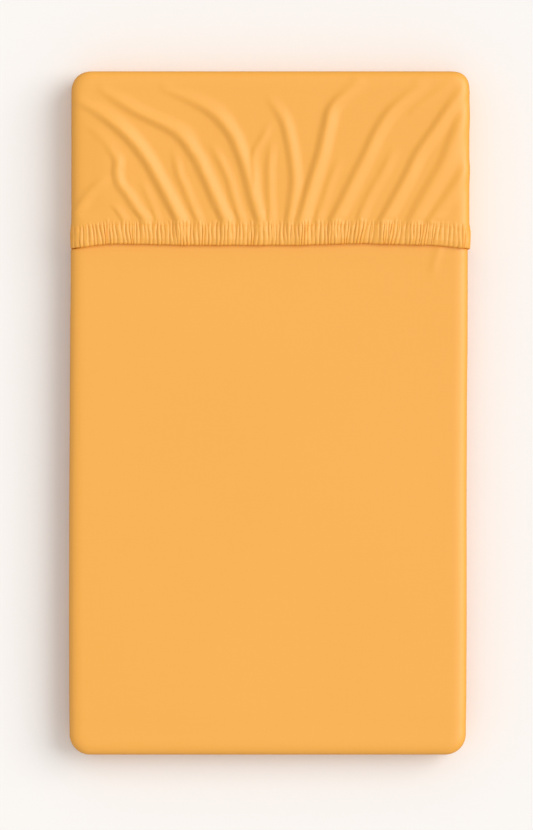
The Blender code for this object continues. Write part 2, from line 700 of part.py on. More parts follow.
def add_sheet():
    sheet = Sheet()
    add_hem(sheet)
    add_pocket(sheet)
    pocket_rim = rim_walk(POCKET_CELLS, FLAP_ROWS, FLAP_ROWS + ROUND_STEPS)
    top_line = add_under_end(sheet, "pocket", pocket_rim, pocket_foot, 1)
    last_row = add_panel(sheet)
    panel_rim = rim_walk(PANEL_COLUMNS, ROUND_STEPS, 0)
    bottom_line = add_under_end(sheet, "panel", panel_rim, panel_end_foot, -1)
    add_back(sheet, top_line, bottom_line)
    add_inner_layers(sheet, last_row)
    mesh = bpy.data.meshes.new("fitted_sheet")
    sheet.build(mesh)
    mesh.materials.append(sheet_material())
    mesh.shade_smooth()
    mesh.set_sharp_from_angle(angle=math.radians(SHARP_ANGLE))
    cloth = bpy.data.objects.new("fitted_sheet", mesh)
    bpy.context.scene.collection.objects.link(cloth)


clear_scene()
add_sheet()
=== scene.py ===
# %% [markdown]
# # A fitted sheet, folded flat
#
# The real thing is one large piece of thin cotton. It has been folded to and fro into a flat
# packet, and one of its corner pockets is pulled over the end of the packet, so that the
# gathered elastic hem lies across the front. Nothing holds it but its own folds.
#
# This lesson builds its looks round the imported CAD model. The CAD model has the true shape in a
# few layers. Here the same shape is made finer: soft pleats in the hem, creases that fan out
# over the pocket, thin plies at the open sides, sewing, and a woven cotton finish.

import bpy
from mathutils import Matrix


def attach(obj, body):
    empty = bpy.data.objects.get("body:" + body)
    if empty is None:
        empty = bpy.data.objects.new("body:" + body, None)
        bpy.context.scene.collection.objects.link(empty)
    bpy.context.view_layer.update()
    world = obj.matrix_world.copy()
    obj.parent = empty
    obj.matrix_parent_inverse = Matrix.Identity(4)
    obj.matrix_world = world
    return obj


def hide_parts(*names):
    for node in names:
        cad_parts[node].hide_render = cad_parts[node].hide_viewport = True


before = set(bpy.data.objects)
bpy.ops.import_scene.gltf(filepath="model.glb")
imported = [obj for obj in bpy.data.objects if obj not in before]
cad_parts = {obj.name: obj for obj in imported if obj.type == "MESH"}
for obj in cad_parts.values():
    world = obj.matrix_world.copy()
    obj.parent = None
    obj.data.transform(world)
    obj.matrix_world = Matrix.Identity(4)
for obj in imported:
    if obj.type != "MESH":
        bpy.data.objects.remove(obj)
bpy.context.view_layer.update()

import math
from collections import Counter, namedtuple

import bmesh
import bpy
import numpy as np
from mathutils import Vector
from mathutils.geometry import delaunay_2d_cdt

# %% [markdown]
# ## Sizes
#
# A folded packet is described best by its section. From below: the back, many thin plies, the
# front panel, and on top of that the front of the pocket. The edges are round, because soft
# cotton never folds sharp. The numbers repeat those of the CAD model, so that the two agree.

# %% Sizes of the packet
MM = 0.001
QUARTER = math.pi / 2
TINY = 1e-9                     # keeps a division or a limit safe from rounding
CLOTH = 1.6 * MM                # the outer cloth, which is really a few plies that lie close
CLEARANCE = 2.1 * MM            # what the plies keep from the outside of the outer cloth
WIDEST_Z = 12.0 * MM            # height at which the sides reach furthest out
CORNER = 13.0 * MM              # plan width of the round edges
UNDER_ROUND = 5.0 * MM          # the same underneath
PANEL_TOP = 22.6 * MM
FLAP_TOP = 24.7 * MM
FLAT_END = 202.0 * MM           # where the round ends start
POCKET_LEFT, POCKET_RIGHT = -124.8 * MM, 125.72 * MM
POCKET_MIDDLE = (POCKET_LEFT + POCKET_RIGHT) / 2
POCKET_FLAT = (POCKET_RIGHT - POCKET_LEFT) / 2 - CORNER
UNDER_ARC = 14.4 * MM           # length of cloth from the widest line to the surface
EDGE_POWER = 0.46               # under 1, a round edge is squarer than an ellipse
SQUARE_LEFT, SQUARE_RIGHT = 0.03, 0.1   # how far the pocket's corners stand out past round ones
print("pocket", round((POCKET_RIGHT - POCKET_LEFT) / MM, 1), "mm wide")

# %% [markdown]
# ## Small helpers
#
# Real cloth is uneven, but a lesson has to give the same result each time. So unevenness comes
# from a fixed function of a number, never from a random generator.

# %% Unevenness and easing
SCATTER_STEP, SCATTER_START, SCATTER_SCALE = 12.9898, 4.1, 43758.5453


def uneven(number):
    """Fixed values between 0 and 1 with no visible order, for a number or an array."""
    return np.sin(np.asarray(number) * SCATTER_STEP + SCATTER_START) * SCATTER_SCALE % 1.0


def smooth(value):
    """Rises from 0 to 1 with soft ends."""
    value = np.clip(value, 0.0, 1.0)
    return value * value * (3.0 - 2.0 * value)


def between(low, high, share):
    return low + (high - low) * share


print("uneven:", [round(float(uneven(number)), 2) for number in range(4)])

# %% [markdown]
# ## Cloth as cells between named points
#
# A folded sheet is hard to model with one grid, because it closes round corners and runs back
# and forth. Instead each point gets a name, such as its column and row, and has a place on
# both faces of the cloth. Cells join names, so parts that share names are sewn together
# without a gap. Where only one cell uses an edge, the cloth ends, and a soft round nose joins
# its two faces there.

# %% The cloth
class Cloth:
    def __init__(self):
        self.places = {}
        self.cells = ([], [])   # of the outside and of the inside

    def point(self, name, outside, inside, flat):
        """A name's places on both faces, and where it is on the unfolded cloth."""
        self.places[name] = (tuple(outside), tuple(inside), tuple(flat))

    def points(self, names, outside, inside, flat):
        rows = zip(names, outside.tolist(), inside.tolist(), flat.tolist())
        for name, outer, inner, place in rows:
            self.point(name, outer, inner, place)

    def cell(self, *names, faces=(0, 1)):
        for face in faces:
            self.cells[face].append(names)

    def strip(self, first, second, faces=(0, 1)):
        """Cells between two rows of names of the same length."""
        for step in range(len(first) - 1):
            self.cell(first[step], first[step + 1], second[step + 1], second[step],
                      faces=faces)

    def fan(self, coarse, fine, faces=(0, 1)):
        """Cells between a coarse row of names and a finer one with several steps to each."""
        ratio = (len(fine) - 1) // (len(coarse) - 1)
        for step in range(len(coarse) - 1):
            near, far = coarse[step], coarse[step + 1]
            part = fine[step * ratio:(step + 1) * ratio + 1]
            half = ratio // 2
            for place in range(half):
                self.cell(near, part[place], part[place + 1], faces=faces)
            self.cell(near, part[half], far, faces=faces)
            for place in range(half, ratio):
                self.cell(far, part[place], part[place + 1], faces=faces)


print("the cloth is made of named points and cells")

# %% The raw edges
NOSE_POINTS = 3                 # between the two faces, on the outer cloth's edges
NOSE_REACH = 0.8                # how far a nose stands out, as a share of half the thickness
NOSE_GROWS = 16                 # columns of the hem, from its ends, over which its nose grows


def raw_edges(cells):
    """The pairs of names that only one cell uses, with the other names of that cell."""
    uses, found = Counter(), {}
    for names in cells:
        for pair in zip(names, names[1:] + names[:1]):
            edge = frozenset(pair)
            uses[edge] += 1
            found[edge] = pair, names
    return [found[edge] for edge, count in uses.items() if count == 1]


def nose_ways(cloth, edges):
    """For each name on a raw edge, the direction that points away from the cloth."""
    ways = {}
    for (first, second), names in edges:
        start, finish = (np.array(cloth.places[name][0]) for name in (first, second))
        centre = np.mean([cloth.places[name][0] for name in names], axis=0)
        along = (finish - start) / max(np.linalg.norm(finish - start), TINY)
        way = (start + finish) / 2 - centre
        way -= along * (way @ along)
        way /= max(np.linalg.norm(way), TINY)
        for name in (first, second):
            ways[name] = ways.get(name, 0.0) + way
    return {name: way / np.linalg.norm(way) for name, way in ways.items()}


def nose_of(cloth, name, way):
    """Points round a raw edge, from the outside to the inside."""
    outside, inside = (np.array(place) for place in cloth.places[name][:2])
    middle, half = (outside + inside) / 2, (outside - inside) / 2
    way = way - half * (way @ half) / (half @ half)
    way *= NOSE_REACH * np.linalg.norm(half) / np.linalg.norm(way)
    if name[0] == "hem":
        way *= smooth(min(name[1], COLUMNS - name[1]) / NOSE_GROWS)
    count = 1 if name[0] == "ply" else NOSE_POINTS
    turns = [math.pi * (step + 1) / (count + 1) for step in range(count)]
    return [tuple(middle + half * math.cos(turn) + way * math.sin(turn)) for turn in turns]


print("a nose has", NOSE_POINTS, "points between the faces")

# %% Cloth to mesh
def cloth_to_mesh(cloth, title):
    """Both faces, the noses between them, and a UV map that says where the cloth was flat."""
    spots, flats, index = [], [], {}

    def add(key, spot, flat):
        index[key] = len(spots)
        spots.append(spot)
        flats.append(flat)

    faces = []
    for face in (0, 1):
        for names in cloth.cells[face]:
            for name in names:
                if (name, face) not in index:
                    place = cloth.places[name]
                    add((name, face), place[face], place[2])
            faces.append([index[name, face] for name in names])
    edges = raw_edges(cloth.cells[0])
    noses = {}
    for name, way in nose_ways(cloth, edges).items():
        noses[name] = [index[name, 0]]
        for step, spot in enumerate(nose_of(cloth, name, way)):
            add((name, "nose", step), spot, cloth.places[name][2])
            noses[name].append(index[name, "nose", step])
        noses[name].append(index[name, 1])
    for (first, second), _ in edges:
        near, far = noses[first], noses[second]
        if len(near) == len(far):
            for step in range(len(near) - 1):
                faces.append([near[step], far[step], far[step + 1], near[step + 1]])
        else:
            faces.append(near + far[::-1])
    mesh = bpy.data.meshes.new(title)
    mesh.from_pydata(spots, [], faces)
    form = bmesh.new()
    form.from_mesh(mesh)
    bmesh.ops.recalc_face_normals(form, faces=form.faces)
    form.to_mesh(mesh)
    form.free()
    corners = np.zeros(len(mesh.loops), np.int32)
    mesh.loops.foreach_get("vertex_index", corners)
    layer = mesh.uv_layers.new(name="cloth")
    layer.data.foreach_set("uv", np.array(flats, np.float32)[corners].ravel())
    return mesh


print("ready to make meshes")

# %% [markdown]
# ## Round edges
#
# Over a round edge the cloth follows a squarish quarter of an ellipse down to the widest line,
# and a tighter one under it. At the packet's corners the two ends of that round edge have to
# meet, so there the directions fan out like a quarter of a saucer.

# %% The profile of a round edge
def edge_out(turn):
    """How far out the edge has come at a turn: 0 on top and 1 at the widest line."""
    return np.sin(turn) ** EDGE_POWER


def edge_rise(turn):
    """How high it still is: 1 on top and 0 at the widest line. A curl goes on past that."""
    level = np.cos(turn)
    return np.where(level > 0.0, np.abs(level) ** EDGE_POWER, level)


ARC_POINTS = 401                # at which the length of a round edge is measured
ARC_TURNS = QUARTER * smooth(smooth(np.linspace(0.0, 1.0, ARC_POINTS)))
arc_steps = np.hypot(np.diff(CORNER * edge_out(ARC_TURNS)),
                     np.diff((FLAP_TOP - WIDEST_Z) * edge_rise(ARC_TURNS)))
ARCS = np.concatenate(([0.0], np.cumsum(arc_steps)))
OVER_ARC = float(ARCS[-1])


def even_turn(share):
    """The turn at a share of the cloth over the edge, so that even shares have even lengths."""
    return np.interp(np.asarray(share) * OVER_ARC, ARCS, ARC_TURNS)


print("cloth over a round edge:", round(OVER_ARC / MM, 1), "mm")

# %% Over and under the edge
LOW_FROM = 1e-6                 # share under the edge from which a place is on its lower part


def over(foot_x, foot_y, way_x, way_y, turn, top, across, swell):
    """Both faces of the cloth that turns over the edge: turn 0 is flat on top."""
    faces = []
    for inset in (-swell, CLOTH - swell):
        out = (across - inset) * edge_out(turn)
        height = WIDEST_Z + (top - WIDEST_Z - inset) * edge_rise(turn)
        faces.append(np.stack(np.broadcast_arrays(
            foot_x + out * way_x, foot_y + out * way_y, height), axis=-1))
    return faces


def under(foot_x, foot_y, way_x, way_y, turn, swell):
    """The same below the widest line: turn 0 is flat on the surface."""
    faces = []
    for inset in (-swell * np.sin(turn), CLOTH + 0.0 * turn):
        out = CORNER - UNDER_ROUND + (UNDER_ROUND - inset) * np.sin(turn)
        height = WIDEST_Z - (WIDEST_Z - np.maximum(inset, 0.0)) * np.cos(turn)
        faces.append(np.stack(np.broadcast_arrays(
            foot_x + out * way_x, foot_y + out * way_y, height), axis=-1))
    return faces


def heading(side, side_share, end, end_share, is_pocket):
    """Directions in plan and turns on the round edge, fanned out at a corner.

    The shares tell how far a point is over the edge at the side and at the end."""
    side_share, end_share = np.broadcast_arrays(side_share, end_share)
    larger = np.maximum(side_share, end_share)
    fan = QUARTER / 2 * np.minimum(side_share, end_share) / np.maximum(larger, TINY)
    angle = np.where(side_share >= end_share, fan, QUARTER - fan)
    square = between(SQUARE_LEFT, SQUARE_RIGHT, (side + 1.0) / 2) * is_pocket
    reach = 1.0 + square * np.sin(2.0 * angle) ** 2
    return side * reach * np.cos(angle), end * reach * np.sin(angle), even_turn(larger)


def pocket_across(along):
    """Foot x, side, and shares of the cloth over and under the edge, across the pocket."""
    side = np.where(along < 0.0, -1.0, 1.0)
    past = np.abs(along) - POCKET_FLAT
    foot_x = POCKET_MIDDLE + np.clip(along, -POCKET_FLAT, POCKET_FLAT)
    share = np.clip(past / OVER_ARC, 0.0, 1.0)
    return foot_x, side, share, np.clip((past - OVER_ARC) / UNDER_ARC, 0.0, 1.0)


def pocket_x(along):
    """X of places across the pocket, down to the widest line."""
    foot_x, side, share, _ = pocket_across(along)
    return foot_x + side * CORNER * edge_out(even_turn(share))


def pocket_places(along, y, swell):
    """Both faces of the pocket at places across it, which may lie under the widest line."""
    foot_x, side, share, below = pocket_across(along)
    upper = over(foot_x, y, side, 0.0, even_turn(share), FLAP_TOP, CORNER, swell)
    lower = under(foot_x, y, side, 0.0, (1.0 - below) * QUARTER, swell)
    is_low = (below > LOW_FROM)[:, None]
    return [np.where(is_low, low, high) for low, high in zip(lower, upper)]


print("with the part under it:", round((OVER_ARC + UNDER_ARC) / MM, 1), "mm")

# %% [markdown]
# ## The drag folds
#
# The elastic pulls the hem together, so folds fan out from it over the pocket. Each has a steep
# left side and a gentle right side, as the light shows. A fold is best placed one by one: a row
# of the table gives where it starts above the hem, five places between, and where it ends.

# %% Table of the folds
Fold = namedtuple("Fold", "foot_y top_y x_foot x_1 x_2 x_3 x_4 x_5 x_top height width")
FOLDS = (
    Fold(121, 196, -59.6, -66.0, -72.7, -80.0, -90.0, -104.0, -122.5, 2.0, 1.0),
    Fold(121, 202, -30.8, -37.0, -43.0, -50.0, -61.5, -87.0, -107.0, 1.8, 1.0),
    Fold(121, 203, -8.8, -13.0, -16.5, -21.0, -27.6, -41.0, -68.0, 1.7, 1.0),
    Fold(121, 196, 9.9, 11.8, 13.1, 12.0, 9.8, 6.3, -1.5, 1.3, 0.9),
    Fold(121, 208, 16.9, 21.0, 25.3, 29.7, 33.0, 37.4, 52.0, 1.9, 1.0),
    Fold(121, 206, 37.4, 44.5, 51.4, 58.5, 65.2, 74.8, 91.0, 1.6, 1.0),
    Fold(121, 206, 68.4, 76.3, 83.9, 90.8, 100.5, 110.0, 120.0, 1.6, 1.0),
    Fold(121, 193, 86.3, 92.6, 99.4, 106.2, 111.0, 115.6, 120.2, 1.2, 1.2),
    Fold(121, 166, -80.6, -86.3, -91.2, -96.5, -98.2, -98.0, -102.5, 1.3, 0.8),
    Fold(121, 163, -46.6, -49.8, -52.8, -55.6, -58.7, -60.3, -61.8, 0.8, 0.7),
    Fold(121, 168, -19.8, -22.6, -24.9, -27.0, -30.2, -34.1, -38.0, 0.8, 0.7),
    Fold(148, 181, -10.4, -11.0, -11.6, -11.0, -8.0, -4.8, -2.5, 0.6, 0.6),
    Fold(121, 169, -1.2, -1.6, -2.0, -2.1, -2.3, -1.6, -0.6, 0.8, 0.7),
    Fold(121, 159, 28.2, 29.9, 32.2, 34.3, 36.4, 38.9, 41.8, 0.5, 0.7),
    Fold(121, 165, 54.0, 56.7, 60.0, 63.9, 68.3, 72.1, 75.8, 0.7, 0.8),
    Fold(121, 158, 98.4, 102.9, 107.3, 111.5, 115.6, 119.2, 121.5, 0.8, 1.0),
    Fold(126, 148, -123.5, -121.3, -119.0, -116.6, -113.6, -109.9, -106.0, 0.8, 0.8),
    Fold(190, 208, 88.0, 91.5, 95.2, 99.0, 102.9, 106.8, 110.8, 0.4, 0.8),
    Fold(121, 131, -93.1, -94.1, -95.2, -96.3, -97.5, -98.7, -99.8, 0.5, 0.6),
    Fold(166, 180, -102.0, -104.2, -106.5, -108.8, -111.0, -113.0, -115.0, 0.3, 0.8),
    Fold(133, 188, -112.0, -112.0, -112.0, -112.0, -112.0, -112.0, -112.0, 0.7, 4.5),
    Fold(121, 146, -72.0, -73.4, -75.0, -76.8, -78.6, -80.3, -82.0, 0.4, 0.6),
)
FOLD_STOPS = slice(2, 9)        # the x columns
FOLD_STEEP = 2.2 * MM           # half the width of the steep side, where width is 1
FOLD_GENTLE = 7.8 * MM          # width of the gentle side
FOLD_PAST_FOOT, FOLD_PAST_TOP = 0.3, 0.1    # how far it runs past its foot and its top,
FOLD_FADE_FOOT, FOLD_FADE_TOP = 0.4, 0.35   # and over what shares of its length it fades
FOLD_PROBE = 0.02               # share of its length over which its slope is measured
print(len(FOLDS), "folds")

# %% Height of the folds
def fold_line(fold, share):
    """X of a fold at shares of its length, on a smooth curve through the table's places."""
    stops = np.array(fold[FOLD_STOPS])
    stops = np.concatenate(([2 * stops[0] - stops[1]], stops, [2 * stops[-1] - stops[-2]]))
    place = np.clip(share, 0.0, 1.0) * (len(stops) - 3)
    step = np.minimum(place.astype(int), len(stops) - 4)
    rest = place - step
    before, start, finish, after = (stops[step + more] for more in range(4))
    bend = (2 * before - 5 * start + 4 * finish - after) * rest ** 2
    twist = (3 * (start - finish) + after - before) * rest ** 3
    return (start + ((finish - before) * rest + bend + twist) / 2) * MM


def fold_height(x, y):
    """How far the folds lift the pocket's front at places in plan."""
    x, y = np.broadcast_arrays(x, y)
    height = np.zeros(x.shape)
    for fold in FOLDS:
        span = (fold.top_y - fold.foot_y) * MM
        share = (y - fold.foot_y * MM) / span
        near, far = fold_line(fold, share - FOLD_PROBE), fold_line(fold, share + FOLD_PROBE)
        slope = (far - near) / (2 * FOLD_PROBE * span)
        off = (x - fold_line(fold, share)) / np.hypot(1.0, slope)
        off /= fold.width
        steep = smooth((off + FOLD_STEEP) / (2 * FOLD_STEEP))
        gentle = 1.0 - smooth((off - FOLD_STEEP) / FOLD_GENTLE)
        along = smooth((1.0 + FOLD_PAST_TOP - share) / FOLD_FADE_TOP)
        along *= smooth((share + FOLD_PAST_FOOT) / FOLD_FADE_FOOT)
        height += fold.height * MM * steep * gentle * along
    return height


every_mm = np.arange(POCKET_LEFT, POCKET_RIGHT, MM)
at_feet = [float(fold_height(every_mm, fold.foot_y * MM).max()) for fold in FOLDS]
print("at their feet the folds are up to", round(max(at_feet) / MM, 2), "mm high")

# %% [markdown]
# ## The gathered hem
#
# The hem is a casing, folded over an elastic and sewn along its top. The elastic draws it into
# fine pleats, a little over 2 mm apart and never quite even: some lean, some join, and each
# runs out above the seam at its own height. Valleys and ridges get their own heights, and the
# columns of the mesh follow them, so that each pleat is drawn by the same few points.

# %% Pleats across the hem
HEM_EDGE_Y = 105.7 * MM
HEM_DEPTH = 12.4 * MM
HEM_DROOP, HEM_DROOP_FROM, HEM_DROOP_OVER = 2.5 * MM, 98.0 * MM, 34.0 * MM
GATHER_TOP_Y = 128.0 * MM       # where all pleats have run out into the pocket
PLEAT_POINTS = 8                # steps of the mesh in a pleat
PLEATS_OVER = 114               # over the front and down to the widest lines
PLEATS_UNDER = 6                # from there to the surface, on each side
PLEAT_UNEVEN = 0.75             # how much their widths differ
UNDER_START, OVER_START = 11, 41        # where their unevenness starts to count
Wave = namedtuple("Wave", "x width lift")
HEM_WAVES = (
    Wave(-92, 26, 0.8),
    Wave(57, 26, 1.1),
)


def pleat_widths(count, total, start):
    widths = 1.0 + PLEAT_UNEVEN * (uneven(np.arange(count) + start) - 0.5)
    return widths * total / widths.sum()


OVER_HALF = POCKET_FLAT + OVER_ARC
under_widths = pleat_widths(PLEATS_UNDER, UNDER_ARC, UNDER_START)
over_widths = pleat_widths(PLEATS_OVER, 2 * OVER_HALF, OVER_START)
widths = np.concatenate((under_widths, over_widths, under_widths[::-1]))
PLEAT_COUNT = len(widths)
VALLEYS = np.concatenate(([0.0], np.cumsum(widths))) - OVER_HALF - UNDER_ARC
COLUMNS = PLEAT_COUNT * PLEAT_POINTS
COLUMN_PLACES = np.interp(np.arange(COLUMNS + 1) / PLEAT_POINTS,
                          np.arange(PLEAT_COUNT + 1), VALLEYS)
print(PLEAT_COUNT, "pleats,", round(float(widths.mean() / MM), 2), "mm apart")

# %% How the pleats lean
Lean = namedtuple("Lean", "x lean")
LEANS = (
    Lean(-125, 0.0),
    Lean(-112, -1.6),
    Lean(-60, -1.0),
    Lean(-20, 0.0),
    Lean(20, -0.2),
    Lean(60, 1.2),
    Lean(100, 1.6),
    Lean(125, 0.3),
)
LEAN_UNEVEN = 0.9 * MM          # over a few pleats
LEAN_SPAN = 4.0                 # how many pleats that is
PLEAT_WANDER = 0.28 * MM        # how far each valley wanders on its way up
WANDER_LENGTH = 17.0 * MM
LEAN_START, WANDER_START = 900, 600     # where their unevenness starts to count


def hem_edge_y(x):
    """The hem's lower edge: two low waves across the front, and a droop at each side."""
    lift = sum(wave.lift * np.exp(-((x / MM - wave.x) / wave.width) ** 2) for wave in HEM_WAVES)
    droop = HEM_DROOP * smooth((np.abs(x) - HEM_DROOP_FROM) / HEM_DROOP_OVER)
    return HEM_EDGE_Y + lift * MM - droop


def lean_of(places, number):
    """How much further right a pleat is at the seam than at the hem's edge."""
    main = np.interp(places / MM, [row.x for row in LEANS], [row.lean for row in LEANS]) * MM
    step = number / LEAN_SPAN
    low = np.floor(step)
    part = smooth(step - low)
    scatter = between(uneven(low + LEAN_START), uneven(low + 1 + LEAN_START), part) - 0.5
    return main + 2 * LEAN_UNEVEN * scatter


def column_places(y):
    """Where the columns are across the pocket at a height up it: they follow the valleys."""
    numbers = np.arange(COLUMNS + 1) / PLEAT_POINTS
    below = np.minimum(y - GATHER_TOP_Y, 0.0)
    shift = lean_of(COLUMN_PLACES, numbers) * below / HEM_DEPTH
    valleys = np.arange(PLEAT_COUNT + 1)
    phase = math.tau * uneven(valleys + WANDER_START)
    start = np.sin(phase)
    wander = PLEAT_WANDER * (np.sin(below[0] / WANDER_LENGTH * math.tau + phase) - start)
    shift = shift + np.interp(numbers, valleys, wander)
    margin = np.minimum(numbers, PLEAT_COUNT - numbers) / LEAN_SPAN
    return COLUMN_PLACES + shift * smooth(margin)


print("lean at the left end", round(float(lean_of(POCKET_LEFT, 0.0) / MM), 2), "mm")

# %% Heights of the pleats
PLEAT_HEIGHT = 0.85 * MM
PLEAT_LOWEST = 0.5              # share of that on the lowest ridges
VALLEY_HIGHEST = 0.45           # share of it on valleys that nearly close up
PLEAT_ROUND = 0.8               # under 1, a pleat's section is fuller than a parabola
HEM_RISES = (0.1, 0.75, 0.6, 0.1, 0.25, 0.0)    # how far the casing stands up, in mm, at these
HEM_STOPS = (0.0, 0.25, 0.7, 0.97, 1.12, 1.7)   # shares of its depth, counted from the edge
SEAM_PINCH, SEAM_NEAR = 0.45, 0.07      # what the seam takes of the pleats, and how near it
RUN_SHORT, RUN_LONG = 0.1, 0.34         # how far they run on above it, as shares of the depth
DENT_FROM, DENT_OVER = 0.62, 0.2        # pleats with an uneven value over this have a dent in
                                        # the middle, which grows to its full depth over that
DENT_DEPTH, DENT_WIDTH = 0.4, 0.16      # as shares of the pleat

# Slow waves up the hem: how high, how many radians over its depth, and how much is cut off.
SlowWave = namedtuple("SlowWave", "height radians less start")
RIDGE_WAVE = SlowWave(0.15, 5.0, 0.0, 130)      # in each ridge's height
FORK_WAVE = SlowWave(1.5, 3.2, 0.7, 350)        # where it is over 0, two pleats join
DENT_WAVE = SlowWave(1.6, 2.6, 0.0, 510)        # where it is over 0, the dent shows
RIDGE_START, RUN_START, DENT_START = 77, 210, 430   # where their unevenness starts to count


def slow_wave(wave, share, numbers):
    phase = math.tau * uneven(numbers + wave.start)
    return wave.height * np.sin(share * wave.radians + phase) - wave.less


def pleat_height(share):
    """Height of every column at shares of the hem's depth, one for each column."""
    number = np.arange(COLUMNS + 1)
    pleat = np.minimum(number // PLEAT_POINTS, PLEAT_COUNT - 1)
    place = number / PLEAT_POINTS - pleat
    ridge = between(PLEAT_LOWEST, 1.0, uneven(pleat + RIDGE_START))
    ridge *= 1.0 + slow_wave(RIDGE_WAVE, share, pleat)
    run = between(RUN_SHORT, RUN_LONG, uneven(pleat + RUN_START) ** 2)
    ridge *= 1.0 - smooth((share - 1.0) / run)
    at_valley = share[::PLEAT_POINTS]
    fork = smooth(slow_wave(FORK_WAVE, at_valley, np.arange(PLEAT_COUNT + 1)))
    valley = fork * VALLEY_HIGHEST * (1.0 - smooth((at_valley - 1.0) / RUN_SHORT))
    near = np.minimum(valley[pleat], ridge)
    far = np.minimum(valley[np.minimum(pleat + 1, PLEAT_COUNT)], ridge)
    foot = np.where(place < 0.5, near, far)
    rise = (1.0 - (1.0 - 2.0 * np.minimum(place, 1.0 - place)) ** 2) ** PLEAT_ROUND
    height = foot + (ridge - foot) * rise
    dent = smooth((uneven(pleat + DENT_START) - DENT_FROM) / DENT_OVER)
    dent *= smooth(slow_wave(DENT_WAVE, share, pleat))
    height -= DENT_DEPTH * ridge * dent * np.exp(-((place - 0.5) / DENT_WIDTH) ** 2)
    height *= 1.0 - SEAM_PINCH * np.exp(-((share - 1.0) / SEAM_NEAR) ** 2)
    return PLEAT_HEIGHT * height


def hem_rise(share):
    """How far the casing stands up from the cloth beside it."""
    return np.interp(share, HEM_STOPS, HEM_RISES) * MM


half_way_up = pleat_height(np.full(COLUMNS + 1, 0.5))
print("pleats up to", round(float(half_way_up.max() / MM), 2), "mm high")

# %% [markdown]
# ## The pocket
#
# The rows of the pocket start at the hem's edge. The hem and the gathers above it have many
# columns. The rest of the pocket has a quarter as many, and a row of fans joins the two.

# %% Rows of the hem and the gathers
HEM_ROWS = 18
GATHER_ROWS = 11
INNER_ROWS = (0, 8, 18)         # rows that the inside of the hem has: it can't be seen
COARSE = 4                      # columns of the hem for each of the pocket's
NOSE_ROOM = 0.7 * MM            # the first row stays back for the round nose of the edge
SIDE_RISE = 0.1                 # share of the casing's rise that is left on the sides
SIDE_PLEAT = 0.85               # share of the pleats
SCALLOP = 0.35 * MM             # how far ridges hang below valleys at the edge, which fades
SCALLOP_OVER = 0.3              # over this share of the hem's depth

sheet = Cloth()


def hem_name(column, row):
    return "hem", column, row


def add_hem_row(row):
    guess = COLUMN_PLACES
    for _ in range(2):
        x = pocket_x(guess)
        edge = hem_edge_y(x) + NOSE_ROOM
        seam = hem_edge_y(x) + HEM_DEPTH
        if row <= HEM_ROWS:
            y = between(edge, seam, row / HEM_ROWS)
        else:
            y = between(seam, GATHER_TOP_Y, (row - HEM_ROWS) / GATHER_ROWS)
        guess = column_places(y)
    share = (y - hem_edge_y(x)) / HEM_DEPTH
    pleats = pleat_height(share)
    y = y - SCALLOP * pleats / PLEAT_HEIGHT * (1.0 - smooth(share / SCALLOP_OVER))
    past = smooth(pocket_across(guess)[2])
    swell = hem_rise(share) * between(1.0, SIDE_RISE, past)
    swell += pleats * between(1.0, SIDE_PLEAT, past) + fold_height(x, y)
    outside, inside = pocket_places(guess, y, swell)
    if row <= HEM_ROWS:
        inside[:, 2] = np.minimum(inside[:, 2], FLAP_TOP - CLOTH)
    names = [hem_name(column, row) for column in range(COLUMNS + 1)]
    sheet.points(names, outside, inside, np.stack((guess, y), axis=-1))
    return names


hem_names = [add_hem_row(row) for row in range(HEM_ROWS + GATHER_ROWS)]
for row in range(HEM_ROWS + GATHER_ROWS - 1):
    sheet.strip(hem_names[row], hem_names[row + 1], faces=(0,))
for low, high in zip(INNER_ROWS, INNER_ROWS[1:]):
    sheet.strip(hem_names[low], hem_names[high], faces=(1,))
print("the hem has", len(hem_names), "rows of", COLUMNS + 1, "points")

# %% Rows of the pocket's front and sides
FLAP_ROWS = 60
INSIDE_STEP = 2                 # rows of the outside for each of the inside, which is hidden
FLAP_COLUMNS = COLUMNS // COARSE
FLAP_PLACES = COLUMN_PLACES[::COARSE]


def pocket_name(column, row):
    return "pocket", column, row


def add_flap_row(row):
    y = np.full(FLAP_COLUMNS + 1, between(GATHER_TOP_Y, FLAT_END, row / FLAP_ROWS))
    swell = fold_height(pocket_x(FLAP_PLACES), y)
    outside, inside = pocket_places(FLAP_PLACES, y, swell)
    names = [pocket_name(column, row) for column in range(FLAP_COLUMNS + 1)]
    sheet.points(names, outside, inside, np.stack((FLAP_PLACES, y), axis=-1))
    return names


flap_names = [add_flap_row(row) for row in range(FLAP_ROWS + 1)]
for low, high in zip(flap_names, flap_names[1:]):
    sheet.strip(low, high, faces=(0,))
for low, high in zip(flap_names[::INSIDE_STEP], flap_names[INSIDE_STEP::INSIDE_STEP]):
    sheet.strip(low, high, faces=(1,))
sheet.fan(flap_names[0], hem_names[-1], faces=(0,))
sheet.fan(flap_names[0], hem_names[INNER_ROWS[-1]], faces=(1,))
print("the pocket has", len(flap_names), "rows of", FLAP_COLUMNS + 1, "points")

# %% [markdown]
# ## The round top end
#
# The front turns over the top end and under it. The walk goes along one side's round corner,
# across the end and back along the other, and each ring of points under it is a step nearer
# to the surface.

# %% The top end
ROUND_STEPS = 12
RIM_LEFT = PLEATS_UNDER * PLEAT_POINTS // COARSE
RIM_RIGHT = FLAP_COLUMNS - RIM_LEFT


